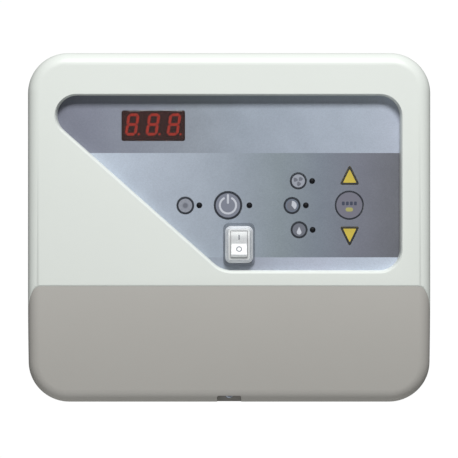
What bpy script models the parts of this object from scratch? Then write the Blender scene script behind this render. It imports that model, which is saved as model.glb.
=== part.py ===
"""Wall-mounted heater control unit, modelled as separate pieces.

Metres, +X right, +Z up, the front faces -Y. The origin is the centre of the back face, on the wall.
Depths are written as distances out from the wall, so a depth of 0.070 is the plane y = -0.070.
"""
import math

import bmesh
import bpy
from mathutils import Vector

# ---- driving dimensions -------------------------------------------------------------------------
WIDTH = 0.250
HEIGHT = 0.2175
DEPTH = 0.070
CORNER_R = 0.025          # outline corners, seen from the front
EDGE_R = 0.008            # rounding between the front face and the sides
WALL = 0.0025             # moulded wall of all three casings
FLOOR = 0.003             # wall-side floor of the back box
BASE_DEPTH = 0.034        # depth of the back box
GAP = 0.0003              # left between pieces that touch

SEAM_Z = -0.0355          # joint of the two covers, on the front face
SEAM_STRIP = 0.00316      # what is left of the front cover behind that joint, along the bottom
SEAM_GAP = 0.0004
FRONT_BOW_R = 0.295       # radius of the lower cover's curved front

TONGUE_WALL = 0.0016      # locating lip of the back box
TONGUE_REACH = 0.004

# recess in the front cover
OPEN_TOP = HEIGHT / 2 - 0.02595
OPEN_BOTTOM = SEAM_Z + 0.0089
OPEN_RIGHT = WIDTH / 2 - 0.0186
OPEN_LEFT_BOTTOM = -0.0047                # lower end of the slanted left side
OPEN_LEFT_TOP = -WIDTH / 2 - 0.003023     # its upper end, before the corner is rounded
OPEN_R = 0.0133
OPEN_R_BOTTOM_LEFT = 0.0165
OPEN_R_TOP_LEFT = 0.0128
RIM_CHAMFER = 0.0014
RECESS_DEPTH = 0.007      # front face down to the film
LIP_WALL = 0.0022
PANEL_OVERLAP = 0.0025    # film behind the lip
PLATE_OVERLAP = 0.004
GASKET_WIDTH = 0.002

FILM = 0.0004
PLATE = 0.0015
KEY_GAP = 0.0003          # round each key, in film and plate
KEY_FLANGE = 0.0008
KEY_TRAVEL = 0.0005
STEM_R = 0.0016
LAMP_R = 0.0015

BOARD = 0.0016
TACT = 0.006
TACT_BODY = 0.0033
TACT_PLUNGER = 0.0006
PLUNGER_R = 0.0017
BOARD_DROP = 0.0085       # plate back to control board front, through switch and key stem

# display window
WINDOW_X, WINDOW_Z = OPEN_LEFT_BOTTOM - 0.0424, OPEN_TOP - 0.0192
WINDOW_W, WINDOW_H = 0.0392, 0.0188
WINDOW_R = 0.0012
LENS = 0.0016
DISPLAY_W, DISPLAY_H = 0.0376, 0.0172

# rocker switch
SWITCH_X, SWITCH_Z = OPEN_LEFT_BOTTOM + 0.0109, -0.0102
BEZEL_W, BEZEL_H, BEZEL_R = 0.0135, 0.0194, 0.0015
BEZEL = 0.0017
HOUSING_WALL = 0.0007
HOUSING_DEPTH = 0.0194
ROCKER_W = 0.0101
ROCKER_HALF = 0.0074
ROCKER_TILT = math.radians(12)
ROCKER_VALLEY = 0.002
ROCKER_SIDE_GAP = 0.0003
BLADE_W, BLADE_T, BLADE_L = 0.0063, 0.0008, 0.0077
BLADE_PITCH = 0.010
BOOT_W, BOOT_H, BOOT_R = 0.0171, 0.0227, 0.0035
BOOT_FLANGE_W, BOOT_FLANGE_H = 0.0195, 0.0270
BOOT_WALL = 0.0008
BOOT_PROUD = 0.0062       # boot front above its flange's back face

# back box fittings
POWER_BOARD_RISE = 0.0085
POWER_BOARD_HALF_W = WIDTH / 2 - 0.030
POWER_BOARD_TOP = HEIGHT / 2 - 0.05375
POWER_BOARD_BOTTOM = -HEIGHT / 2 + 0.01675
BOARD_HOLE_INSET = 0.006
RELAY_X, RELAY_PITCH = -0.072, 0.034
RELAY_DROP = 0.049        # board's top edge down to the middle of each relay, and so on
CORE_DROP = 0.039
FUSE_DROP = 0.013
CAPACITOR_DROP = 0.015
FUSE_X = 0.025 - POWER_BOARD_HALF_W
CAPACITOR_X = 0.065 - POWER_BOARD_HALF_W
RIBBON_X = POWER_BOARD_HALF_W - 0.035
MAINS_LEFT, MAINS_RIGHT = 0.017 - POWER_BOARD_HALF_W, 0.026
SENSOR_LEFT, SENSOR_RIGHT = 0.044, POWER_BOARD_HALF_W - 0.011
PLUG_DROP = 0.010
TERMINAL_RISE = 0.003     # board's bottom edge up to the mains terminals
KEYHOLE_X, KEYHOLE_Z = 0.080, HEIGHT / 2 - 0.03375
KEYHOLE_HEAD_R, KEYHOLE_SLOT_R, KEYHOLE_LENGTH = 0.0045, 0.0023, 0.009
WALL_HOLE_X, WALL_HOLE_Z = WIDTH / 2 - 0.017, -HEIGHT / 2 + 0.03075
ENTRY_R, ENTRY_PITCH, ENTRY_OUT = 0.010, 0.034, 0.017
COVER_SCREW_X, COVER_SCREW_Z = WIDTH / 2 - 0.012, -HEIGHT / 2 + 0.04875
POST_R = 0.004
LOWER_SCREW_Z = -HEIGHT / 2 + 0.00495
NOTCH_W, NOTCH_H = 0.015, 0.00435
SEAT_SETBACK = 0.020      # front face down to the screw seats of both covers
SEAT = 0.0025
HOOK_X, HOOK_W = 0.060, 0.030

FACETS = 24
CORNER_STEPS = 6


# ---- helpers ------------------------------------------------------------------------------------
def material(name, colour, roughness, metallic=0.0, alpha=1.0):
    """A Principled material from an sRGB hex colour."""
    found = bpy.data.materials.get(name)
    if found:
        return found
    made = bpy.data.materials.new(name)
    made.use_nodes = True
    shader = made.node_tree.nodes["Principled BSDF"]
    srgb = [int(colour[i:i + 2], 16) / 255 for i in (0, 2, 4)]
    linear = [c / 12.92 if c <= 0.04045 else ((c + 0.055) / 1.055) ** 2.4 for c in srgb]
    shader.inputs["Base Color"].default_value = (*linear, 1)
    shader.inputs["Roughness"].default_value = roughness
    shader.inputs["Metallic"].default_value = metallic
    shader.inputs["Alpha"].default_value = alpha
    made.diffuse_color = (*linear, alpha)
    return made


CREAM = material("cream_abs", "DFE4DE", 0.45)
GREY = material("grey_abs", "B2B3AD", 0.5)
SILVER = material("silver_film", "AAB2BE", 0.35, 0.6)
KEY_PRINT = material("key_print", "9AA2AE", 0.4)
YELLOW = material("yellow_key", "D2BE50", 0.4)
CARRIER = material("carrier_abs", "C9CCC8", 0.5)
FOAM = material("black_foam", "26272A", 0.9)
SMOKED = material("smoked_acrylic", "413636", 0.12)
BLACK = material("black_plastic", "1B1C1F", 0.45)
WHITE = material("white_nylon", "E6E8E6", 0.4)
CLEAR = material("clear_silicone", "DDE3E6", 0.15, 0, 0.35)
LAMP = material("dark_lamp", "15161A", 0.2)
LAMINATE = material("green_laminate", "1F5A3A", 0.45)
ZINC = material("zinc_steel", "AEB6C4", 0.3, 1)
BRASS = material("tinned_brass", "C8C2A8", 0.3, 1)
RELAY = material("relay_case", "2B4B86", 0.4)
CORE = material("transformer_core", "4A4743", 0.55, 0.5)
SLEEVE = material("capacitor_sleeve", "1E2A55", 0.35)
TERMINAL = material("terminal_nylon", "6E7F72", 0.5)
GLASS = material("fuse_glass", "DCE6E4", 0.05, 0, 0.4)
RIBBON = material("ribbon_pvc", "8C9096", 0.5)
RUBBER = material("grey_rubber", "5B5E60", 0.7)


def finish(name, shape, paint, origin=(0, 0, 0), sharp=math.radians(32)):
    """Turn a bmesh in world coordinates into an object whose origin is at the given place."""
    bmesh.ops.recalc_face_normals(shape, faces=shape.faces)
    bmesh.ops.translate(shape, verts=shape.verts, vec=-Vector(origin))
    mesh = bpy.data.meshes.new(name)
    shape.to_mesh(mesh)
    shape.free()
    mesh.shade_smooth()
    mesh.set_sharp_from_angle(angle=sharp)
    made = bpy.data.objects.new(name, mesh)
    made.location = origin
    bpy.context.scene.collection.objects.link(made)
    if paint:
        mesh.materials.append(paint)
    return made


def ladder_cap(shape, ring):
    """Fill a left-right symmetric ring with rungs between its two sides."""
    half = len(ring) // 2
    right, left = ring[:half], ring[half:][::-1]
    for i in range(half - 1):
        shape.faces.new((right[i], right[i + 1], left[i + 1], left[i]))


def skin(shape, rings, closed=False, ladder=False):
    """Bridge rings of points in order, capped at both ends or joined into a loop."""
    loops = [[shape.verts.new(p) for p in ring] for ring in rings]
    pairs = list(zip(loops, loops[1:])) + ([(loops[-1], loops[0])] if closed else [])
    for first, second in pairs:
        for i in range(len(first)):
            j = (i + 1) % len(first)
            shape.faces.new((first[i], first[j], second[j], second[i]))
    if not closed:
        for end in (loops[0], loops[-1]):
            if ladder:
                ladder_cap(shape, end)
            else:
                shape.faces.new(end)


def at_depth(outline, depth):
    """Place an (x, z) outline at a distance out from the wall."""
    return [Vector((x, -depth, z)) for x, z in outline]


def arc(cx, cz, radius, start, stop, steps):
    """Points of an arc, angles in radians from +X towards +Z."""
    turns = [start + (stop - start) * i / steps for i in range(steps + 1)]
    return [(cx + radius * math.cos(a), cz + radius * math.sin(a)) for a in turns]


def circle(cx, cz, radius, facets=FACETS):
    return arc(cx, cz, radius, 0, 2 * math.pi * (facets - 1) / facets, facets - 1)


def rounded_rect(cx, cz, width, height, radius, steps=3):
    """Rounded rectangle, anticlockwise from its lower right corner."""
    corners = ((1, -1), (1, 1), (-1, 1), (-1, -1))
    points = []
    for i, (sx, sz) in enumerate(corners):
        start = math.pi / 2 * (i - 1)
        points += arc(cx + sx * (width / 2 - radius), cz + sz * (height / 2 - radius), radius,
                      start, start + math.pi / 2, steps)
    return points


def grown(corners, grow):
    """Move each side of an anticlockwise polygon outwards and return the new corners."""
    lines = []
    for (x0, z0), (x1, z1) in zip(corners, corners[1:] + corners[:1]):
        length = math.hypot(x1 - x0, z1 - z0)
        nx, nz = (z1 - z0) / length, -(x1 - x0) / length
        lines.append((nx, nz, nx * x0 + nz * z0 + grow))
    moved = []
    for (a, b, c), (d, e, f) in zip(lines[-1:] + lines[:-1], lines):
        det = a * e - b * d
        moved.append(((c * e - b * f) / det, (a * f - c * d) / det))
    return moved


def filleted(corners, radii, steps=5):
    """Round each corner of an anticlockwise polygon."""
    points = []
    count = len(corners)
    for i, radius in enumerate(radii):
        here = Vector(corners[i])
        before = (Vector(corners[i - 1]) - here).normalized()
        after = (Vector(corners[(i + 1) % count]) - here).normalized()
        half = before.angle(after) / 2
        centre = here + (before + after).normalized() * radius / math.sin(half)
        start = centre.to_tuple(), here + before * radius / math.tan(half)
        first = math.atan2(start[1][1] - centre[1], start[1][0] - centre[0])
        points += arc(centre[0], centre[1], radius, first, first + math.pi - 2 * half, steps)
    return points


def prism(name, outline, back, front, paint, **where):
    shape = bmesh.new()
    skin(shape, [at_depth(outline, back), at_depth(outline, front)])
    return finish(name, shape, paint, **where)


def block(name, x0, x1, back, front, z0, z1, paint=None, **where):
    return prism(name, [(x0, z0), (x1, z0), (x1, z1), (x0, z1)], back, front, paint, **where)


def turned(name, profile, centre, paint, axis="Y", facets=FACETS, **where):
    """Solid of revolution; profile is (radius, distance) with distance out from the wall,
    or along +X or +Z for those axes."""
    shape = bmesh.new()
    rings = []
    for radius, along in profile:
        if axis == "Y":
            rings.append([Vector((x, -along, z)) for x, z in circle(*centre, radius, facets)])
        elif axis == "X":
            rings.append([Vector((along, y, z)) for y, z in circle(*centre, radius, facets)])
        else:
            rings.append([Vector((x, y, along)) for x, y in circle(*centre, radius, facets)])
    skin(shape, rings)
    return finish(name, shape, paint, **where)


def side_extrusion(name, outline, x0, x1, paint, **where):
    """Extrude a (depth, z) outline along X."""
    shape = bmesh.new()
    skin(shape, [[Vector((x, -depth, z)) for depth, z in outline] for x in (x0, x1)])
    return finish(name, shape, paint, **where)


def combine(target, tool, operation):
    """Add, cut or keep the overlap with a hidden tool."""
    tool.hide_render = True
    tool.display_type = "WIRE"
    step = target.modifiers.new(tool.name, "BOOLEAN")
    step.operation = operation
    step.solver = "EXACT"
    step.object = tool


def cut(target, tool):
    combine(target, tool, "DIFFERENCE")


def add(target, tool):
    combine(target, tool, "UNION")


# ---- casing -------------------------------------------------------------------------------------
SEAM_SLOPE = (HEIGHT / 2 + SEAM_Z) / (DEPTH - BASE_DEPTH - SEAM_STRIP)   # along the sides
SEAT_OUT = DEPTH - SEAT_SETBACK
FILM_FRONT = DEPTH - RECESS_DEPTH
FILM_BACK = FILM_FRONT - FILM
PLATE_FRONT = FILM_BACK - GAP
PLATE_BACK = PLATE_FRONT - PLATE
LIP_END = FILM_FRONT + GAP
BOARD_FRONT = PLATE_BACK - BOARD_DROP + 0.0017
BOARD_BACK = BOARD_FRONT - BOARD
POWER_FRONT = POWER_BOARD_RISE + BOARD
PART_FOOT = POWER_FRONT + GAP       # underside of what stands on the power board


def setback(z):
    """How far the bowed front of the lower cover lies behind the flat face."""
    drop = max(0.0, SEAM_Z - z)
    return FRONT_BOW_R - math.sqrt(FRONT_BOW_R ** 2 - drop ** 2)


def casing_outline(inset):
    """The casing's outline, down the right side from the top and back up the left."""
    radius = max(CORNER_R - inset, 0.001)
    cx, cz = WIDTH / 2 - inset - radius, HEIGHT / 2 - inset - radius
    rows = 6
    right = arc(cx, cz, radius, math.pi / 2, 0, CORNER_STEPS)
    right += [(cx + radius, SEAM_Z + (-cz - SEAM_Z) * i / rows) for i in range(rows)]
    right += arc(cx, -cz, radius, 0, -math.pi / 2, CORNER_STEPS)
    return right + [(-x, z) for x, z in reversed(right)]


def casing_ring(inset, depth, bowed=False):
    return [Vector((x, -depth + (setback(z) if bowed else 0), z))
            for x, z in casing_outline(inset)]


def cover_shell(name, paint, origin=(0, 0, 0)):
    """Open-backed cover: outer skin, front rounding, rim and inner skin in one closed solid."""
    steps = 5
    rounds = [math.pi / 2 * i / steps for i in range(steps, -1, -1)]
    outer = [casing_ring(EDGE_R * (1 - math.cos(a)), DEPTH - EDGE_R + EDGE_R * math.sin(a), True)
             for a in rounds]
    inner_r = EDGE_R - WALL
    inner = [casing_ring(WALL + inner_r * (1 - math.cos(a)),
                         DEPTH - EDGE_R + inner_r * math.sin(a), True) for a in reversed(rounds)]
    rim = [casing_ring(0, BASE_DEPTH + GAP), casing_ring(WALL, BASE_DEPTH + GAP)]
    shape = bmesh.new()
    skin(shape, outer + rim + inner, ladder=True)
    return finish(name, shape, paint, origin)


def seam_wedge(name, lift):
    """Everything in front of the slanted seam plane, which is raised by lift."""
    far = 0.02
    reach = HEIGHT
    edge_z = SEAM_Z + lift * math.hypot(1, SEAM_SLOPE)
    top = (DEPTH + far, edge_z + SEAM_SLOPE * far)
    bottom = (DEPTH - reach / SEAM_SLOPE, edge_z - reach)
    return side_extrusion(name, [top, bottom, (DEPTH + far, edge_z - reach)],
                          -WIDTH, WIDTH, None)


def opening_outline(grow):
    corners = [(OPEN_LEFT_BOTTOM, OPEN_BOTTOM), (OPEN_RIGHT, OPEN_BOTTOM), (OPEN_RIGHT, OPEN_TOP),
               (OPEN_LEFT_TOP, OPEN_TOP)]
    radii = [OPEN_R_BOTTOM_LEFT, OPEN_R, OPEN_R, OPEN_R_TOP_LEFT]
    return filleted(grown(corners, grow), [r + grow for r in radii])


def make_front_cover():
    cover = cover_shell("front_cover", CREAM)
    cut(cover, seam_wedge("front_seam_tool", SEAM_GAP / 2))
    lip = prism("lip_tool", opening_outline(LIP_WALL), LIP_END, DEPTH - WALL / 2, None)
    add(cover, lip)
    shape = bmesh.new()
    over = 0.001
    skin(shape, [at_depth(opening_outline(0), LIP_END - over),
                 at_depth(opening_outline(0), DEPTH - RIM_CHAMFER),
                 at_depth(opening_outline(RIM_CHAMFER + over), DEPTH + over)])
    for side in (-1, 1):
        inner = WIDTH / 2 - WALL
        xs = sorted((side * (COVER_SCREW_X - 2 * POST_R / 1.6), side * (inner + WALL / 2)))
        tab = block(f"tab_tool_{side}", *xs, SEAT_OUT - SEAT, SEAT_OUT,
                    COVER_SCREW_Z - POST_R * 1.5, COVER_SCREW_Z + POST_R * 1.5)
        add(cover, tab)
        hole = turned(f"tab_hole_tool_{side}", [(0.002, SEAT_OUT - 2 * SEAT), (0.002, SEAT_OUT + SEAT)],
                      (side * COVER_SCREW_X, COVER_SCREW_Z), None, facets=16)
        cut(cover, hole)
        relief = block(f"relief_tool_{side}", side * HOOK_X - HOOK_W / 2 - 0.002,
                       side * HOOK_X + HOOK_W / 2 + 0.002, DEPTH - 3 * WALL, DEPTH - 0.0009,
                       SEAM_Z - 0.010, SEAM_Z + SEAM_GAP / 2)
        cut(cover, relief)
    cut(cover, finish("opening_tool", shape, None))
    return cover


def make_lower_cover():
    """Grey cover over the wiring, hooked in at its top edge and held by one screw."""
    cover = cover_shell("lower_cover", GREY, (0, -DEPTH, SEAM_Z))
    combine(cover, seam_wedge("lower_seam_tool", -SEAM_GAP / 2), "INTERSECT")
    inner_z = -HEIGHT / 2 + WALL
    pocket_top = LOWER_SCREW_Z + 0.0032
    side = NOTCH_W / 2
    add(cover, block("pocket_tool", -side - 0.0018, side + 0.0018, SEAT_OUT - SEAT, SEAT_OUT + 0.0083,
                     inner_z - 0.0003, pocket_top + 0.0016))
    cut(cover, block("notch_tool", -side, side, SEAT_OUT, DEPTH + 0.01,
                     -HEIGHT / 2 - 0.01, -HEIGHT / 2 + NOTCH_H))
    cut(cover, block("notch_head_tool", -side, side, SEAT_OUT, SEAT_OUT + 0.0068,
                     -HEIGHT / 2 + NOTCH_H - 0.0005, pocket_top))
    cut(cover, turned("seat_hole_tool", [(0.0018, SEAT_OUT - 2 * SEAT), (0.0018, SEAT_OUT + 0.001)],
                      (0, LOWER_SCREW_Z), None, facets=16))
    for side_x in (-HOOK_X, HOOK_X):
        front = DEPTH - WALL - GAP
        root_z = SEAM_Z - 0.0075
        outline = [(front - 0.0018, root_z - 0.007), (front + 0.0013, root_z - 0.007),
                   (front + 0.0013, root_z), (front, root_z), (front, SEAM_Z + 0.0035),
                   (front - 0.0018, SEAM_Z + 0.0035)]
        hook = side_extrusion(f"hook_tool_{side_x}", outline, side_x - HOOK_W / 2,
                              side_x + HOOK_W / 2, None)
        add(cover, hook)
    return cover


def make_back_box():
    """Wall tray: floor, walls, locating lip, posts, keyholes and cable entries."""
    tongue_out = WALL + GAP
    tongue_in = tongue_out + TONGUE_WALL
    root = BASE_DEPTH - 0.003
    shape = bmesh.new()
    skin(shape, [casing_ring(0, 0), casing_ring(0, BASE_DEPTH), casing_ring(tongue_out, BASE_DEPTH),
                 casing_ring(tongue_out, BASE_DEPTH + TONGUE_REACH),
                 casing_ring(tongue_in, BASE_DEPTH + TONGUE_REACH), casing_ring(tongue_in, root),
                 casing_ring(WALL, root - (tongue_in - WALL)), casing_ring(WALL, FLOOR)],
         ladder=True)
    box = finish("back_box", shape, GREY)
    sunk = FLOOR / 2
    posts = [(x, z, POST_R, POWER_BOARD_RISE - GAP) for x, z in board_holes()]
    seat = SEAT_OUT - SEAT - GAP
    posts += [(side * COVER_SCREW_X, COVER_SCREW_Z, POST_R, seat) for side in (-1, 1)]
    for i, (x, z, radius, top) in enumerate(posts):
        add(box, turned(f"post_tool_{i}", [(radius, sunk), (radius, top)], (x, z), None, facets=16))
        cut(box, turned(f"post_hole_tool_{i}", [(0.00205, FLOOR), (0.00205, top + 0.001)], (x, z),
                        None, facets=16))
    post = turned("lower_post_tool", [(0.0036, sunk), (0.0036, seat)], (0, LOWER_SCREW_Z), None,
                  facets=16)
    cut(post, block("post_flat_tool", -POST_R, POST_R, BASE_DEPTH, seat + 0.001,
                    -HEIGHT / 2 - 0.001, -HEIGHT / 2 + tongue_out))
    add(box, post)
    slot = turned("slot_round_tool", [(0.0019, seat - 0.0065), (0.0019, seat + 0.001)],
                  (0, LOWER_SCREW_Z), None, facets=16)
    cut(box, slot)
    cut(box, block("slot_tool", -0.0019, 0.0019, seat - 0.0065, seat + 0.001,
                   -HEIGHT / 2 - 0.002, LOWER_SCREW_Z))
    for side in (-1, 1):
        x = side * KEYHOLE_X
        through = (-0.001, FLOOR + 0.001)
        cut(box, turned(f"keyhole_tool_{side}", [(KEYHOLE_HEAD_R, d) for d in through],
                        (x, KEYHOLE_Z), None))
        cut(box, block(f"keyslot_tool_{side}", x - KEYHOLE_SLOT_R, x + KEYHOLE_SLOT_R, *through,
                       KEYHOLE_Z, KEYHOLE_Z + KEYHOLE_LENGTH))
        cut(box, turned(f"wall_hole_tool_{side}", [(KEYHOLE_SLOT_R, d) for d in through],
                        (side * WALL_HOLE_X, WALL_HOLE_Z), None, facets=16))
    bottom = -HEIGHT / 2
    for i, x in enumerate(entry_places()):
        cut(box, turned(f"entry_tool_{i}", [(ENTRY_R, bottom - 0.001), (ENTRY_R, bottom + WALL + 0.001)],
                        (x, -ENTRY_OUT), None, axis="Z"))
    return box


def board_holes():
    """Fixing holes of the power board, one near each corner."""
    x = POWER_BOARD_HALF_W - BOARD_HOLE_INSET
    return [(sx * x, z) for sx in (-1, 1)
            for z in (POWER_BOARD_BOTTOM + BOARD_HOLE_INSET, POWER_BOARD_TOP - BOARD_HOLE_INSET)]


def entry_places():
    return [(i - 1.5) * ENTRY_PITCH for i in range(4)]


# ---- membrane panel -----------------------------------------------------------------------------
ROUND_KEYS = {              # name: (x, z, radius)
    "light": (OPEN_LEFT_BOTTOM - 0.0225, 0.0140, 0.00525),
    "power": (OPEN_LEFT_BOTTOM + 0.0040, 0.0141, 0.0086),
    "fan": (0.0430, 0.0293, 0.0050),
    "timer": (0.0391, 0.0140, 0.0050),
    "humidity": (0.0435, -0.0011, 0.0050),
    "program": (0.0747, 0.0142, 0.00875),
}
ARROW_KEYS = {              # name: (x, z of the base line, direction of the tip)
    "up": (0.0749, 0.0272, 1),
    "down": (0.0749, 0.0006, -1),
}
ARROW_W, ARROW_H, ARROW_R = 0.0114, 0.0117, 0.0006
LAMPS = {                   # name: (x, z)
    "light": (OPEN_LEFT_BOTTOM - 0.0138, 0.0141),
    "power": (OPEN_LEFT_BOTTOM + 0.0173, 0.0141),
    "fan": (0.0516, 0.0292),
    "timer": (0.0477, 0.0141),
    "humidity": (0.0519, -0.0011),
}
BOARD_TOP = OPEN_TOP - 0.0048
BOARD_LEFT = OPEN_LEFT_BOTTOM - 0.0673
BOARD_NOTCH_X = OPEN_LEFT_BOTTOM + 0.0287
BOARD_OUTLINE = [(BOARD_LEFT, WINDOW_Z - 0.0176), (BOARD_LEFT + 0.038, 0.008),
                 (BOARD_NOTCH_X, 0.008), (BOARD_NOTCH_X, -0.016), (0.090, -0.016),
                 (0.090, BOARD_TOP), (BOARD_LEFT, BOARD_TOP)]
BOARD_POSTS = [(BOARD_LEFT + 0.052, BOARD_TOP - 0.005), (0.085, BOARD_TOP - 0.005),
               (0.085, -0.011), (BOARD_LEFT + 0.034, 0.023)]
ARROW_IN_R = ARROW_W * ARROW_H / (ARROW_W + 2 * math.hypot(ARROW_W / 2, ARROW_H))


def key_outline(name, grow):
    """Outline of a key, grown outwards or shrunk."""
    if name in ROUND_KEYS:
        x, z, radius = ROUND_KEYS[name]
        return circle(x, z, radius + grow)
    x, base, tip = ARROW_KEYS[name]
    corners = [(x - ARROW_W / 2, base), (x + ARROW_W / 2, base), (x, base + ARROW_H)]
    if tip < 0:
        corners = [(x + ARROW_W / 2, base), (x - ARROW_W / 2, base), (x, base - ARROW_H)]
    return filleted(grown(corners, grow), [max(ARROW_R + grow, 0.0003)] * 3)


def key_centre(name):
    if name in ROUND_KEYS:
        return ROUND_KEYS[name][:2]
    x, base, tip = ARROW_KEYS[name]
    return x, base + tip * ARROW_IN_R


KEYS = [*ROUND_KEYS, *ARROW_KEYS]
FLANGE_FRONT = PLATE_BACK - GAP
TACT_FOOT = BOARD_FRONT + GAP
PLUNGER_FRONT = TACT_FOOT + TACT_BODY + TACT_PLUNGER
STEM_TIP = PLUNGER_FRONT + KEY_TRAVEL + 0.0002


def make_key(name):
    """Key area of the film with its carrier disc behind the plate and its stem."""
    x, z = key_centre(name)
    in_r = ROUND_KEYS[name][2] if name in ROUND_KEYS else ARROW_IN_R
    stem = STEM_R - in_r
    steps = [(0, FILM_FRONT), (0, FLANGE_FRONT), (KEY_FLANGE, FLANGE_FRONT),
             (KEY_FLANGE, FLANGE_FRONT - KEY_FLANGE), (stem, FLANGE_FRONT - KEY_FLANGE),
             (stem, STEM_TIP)]
    shape = bmesh.new()
    skin(shape, [at_depth(key_outline(name, grow), depth) for grow, depth in steps])
    paint = YELLOW if name in ARROW_KEYS else KEY_PRINT
    return finish(f"key_{name}", shape, paint, (x, -FILM_FRONT, z))


def make_tact(name):
    """Snap switch on the control board behind one key."""
    x, z = key_centre(name)
    half = TACT / 2
    square = [(x - half, z - half), (x + half, z - half), (x + half, z + half), (x - half, z + half)]
    body = prism(f"tact_switch_{name}", square, TACT_FOOT, TACT_FOOT + TACT_BODY, BLACK)
    add(body, turned(f"plunger_tool_{name}", [(PLUNGER_R, TACT_FOOT + TACT_BODY / 2),
                                              (PLUNGER_R, PLUNGER_FRONT)], (x, z), None, facets=12))
    return body


def make_lamp(name):
    """Indicator light standing on the control board, its tip flush with the film."""
    collar = LAMP_R + 0.0002
    return turned(f"indicator_{name}", [(collar, TACT_FOOT), (collar, TACT_FOOT + 0.0035),
                                        (LAMP_R, TACT_FOOT + 0.0035), (LAMP_R, FILM_FRONT - 0.0002),
                                        (LAMP_R * 0.7, FILM_FRONT)], LAMPS[name], LAMP, facets=16)


def panel_holes(name, back, front):
    """One tool with every hole that film and plate share, and the display and switch cut-outs."""
    shape = bmesh.new()
    outlines = [key_outline(key, KEY_GAP) for key in KEYS]
    outlines += [circle(x, z, LAMP_R + KEY_GAP, 16) for x, z in LAMPS.values()]
    outlines.append(rounded_rect(WINDOW_X, WINDOW_Z, WINDOW_W + 2 * GAP, WINDOW_H + 2 * GAP,
                                 WINDOW_R + GAP))
    outlines.append(rounded_rect(SWITCH_X, SWITCH_Z, housing_size()[0] + 2 * GAP,
                                 housing_size()[1] + 2 * GAP, 0.0008))
    for outline in outlines:
        skin(shape, [at_depth(outline, back), at_depth(outline, front)])
    return finish(name, shape, None)


def make_panel():
    """Film, plate with its board posts, foam seal, window, display and control board."""
    over = 0.001
    overlay = prism("panel_overlay", opening_outline(PANEL_OVERLAP), FILM_BACK, FILM_FRONT, SILVER)
    cut(overlay, panel_holes("film_hole_tool", FILM_BACK - over, FILM_FRONT + over))
    plate = prism("panel_plate", opening_outline(PLATE_OVERLAP), PLATE_BACK, PLATE_FRONT, CARRIER)
    for i, place in enumerate(BOARD_POSTS):
        add(plate, turned(f"board_post_tool_{i}", [(0.0025, BOARD_FRONT + GAP),
                                                   (0.0025, PLATE_BACK + PLATE / 2)],
                          place, None, facets=12))
    cut(plate, panel_holes("plate_hole_tool", PLATE_BACK - over, PLATE_FRONT + over))
    inner = opening_outline(LIP_WALL + GAP)
    outer = opening_outline(LIP_WALL + GAP + GASKET_WIDTH)
    shape = bmesh.new()
    back, front = FILM_FRONT + GAP, DEPTH - WALL - GAP
    skin(shape, [at_depth(outer, front), at_depth(outer, back), at_depth(inner, back),
                 at_depth(inner, front)], closed=True)
    finish("panel_gasket", shape, FOAM)
    prism("display_lens", rounded_rect(WINDOW_X, WINDOW_Z, WINDOW_W, WINDOW_H, WINDOW_R),
          FILM_FRONT - LENS, FILM_FRONT, SMOKED)
    prism("display_module", rounded_rect(WINDOW_X, WINDOW_Z, DISPLAY_W, DISPLAY_H, 0.0005, 1),
          TACT_FOOT, FILM_FRONT - LENS - GAP, BLACK)
    prism("control_board", BOARD_OUTLINE, BOARD_BACK, BOARD_FRONT, LAMINATE)


# ---- rocker switch ------------------------------------------------------------------------------
def rocker_radius():
    """Distance from the pivot to the far corners of the rocker."""
    return math.hypot(ROCKER_HALF, ROCKER_VALLEY + ROCKER_HALF * math.tan(ROCKER_TILT))


def housing_size():
    """Outer width and height of the switch housing behind its bezel."""
    width = ROCKER_W + 2 * (ROCKER_SIDE_GAP + HOUSING_WALL)
    height = 2 * (rocker_radius() + ROCKER_SIDE_GAP + HOUSING_WALL)
    return width, height


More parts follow.
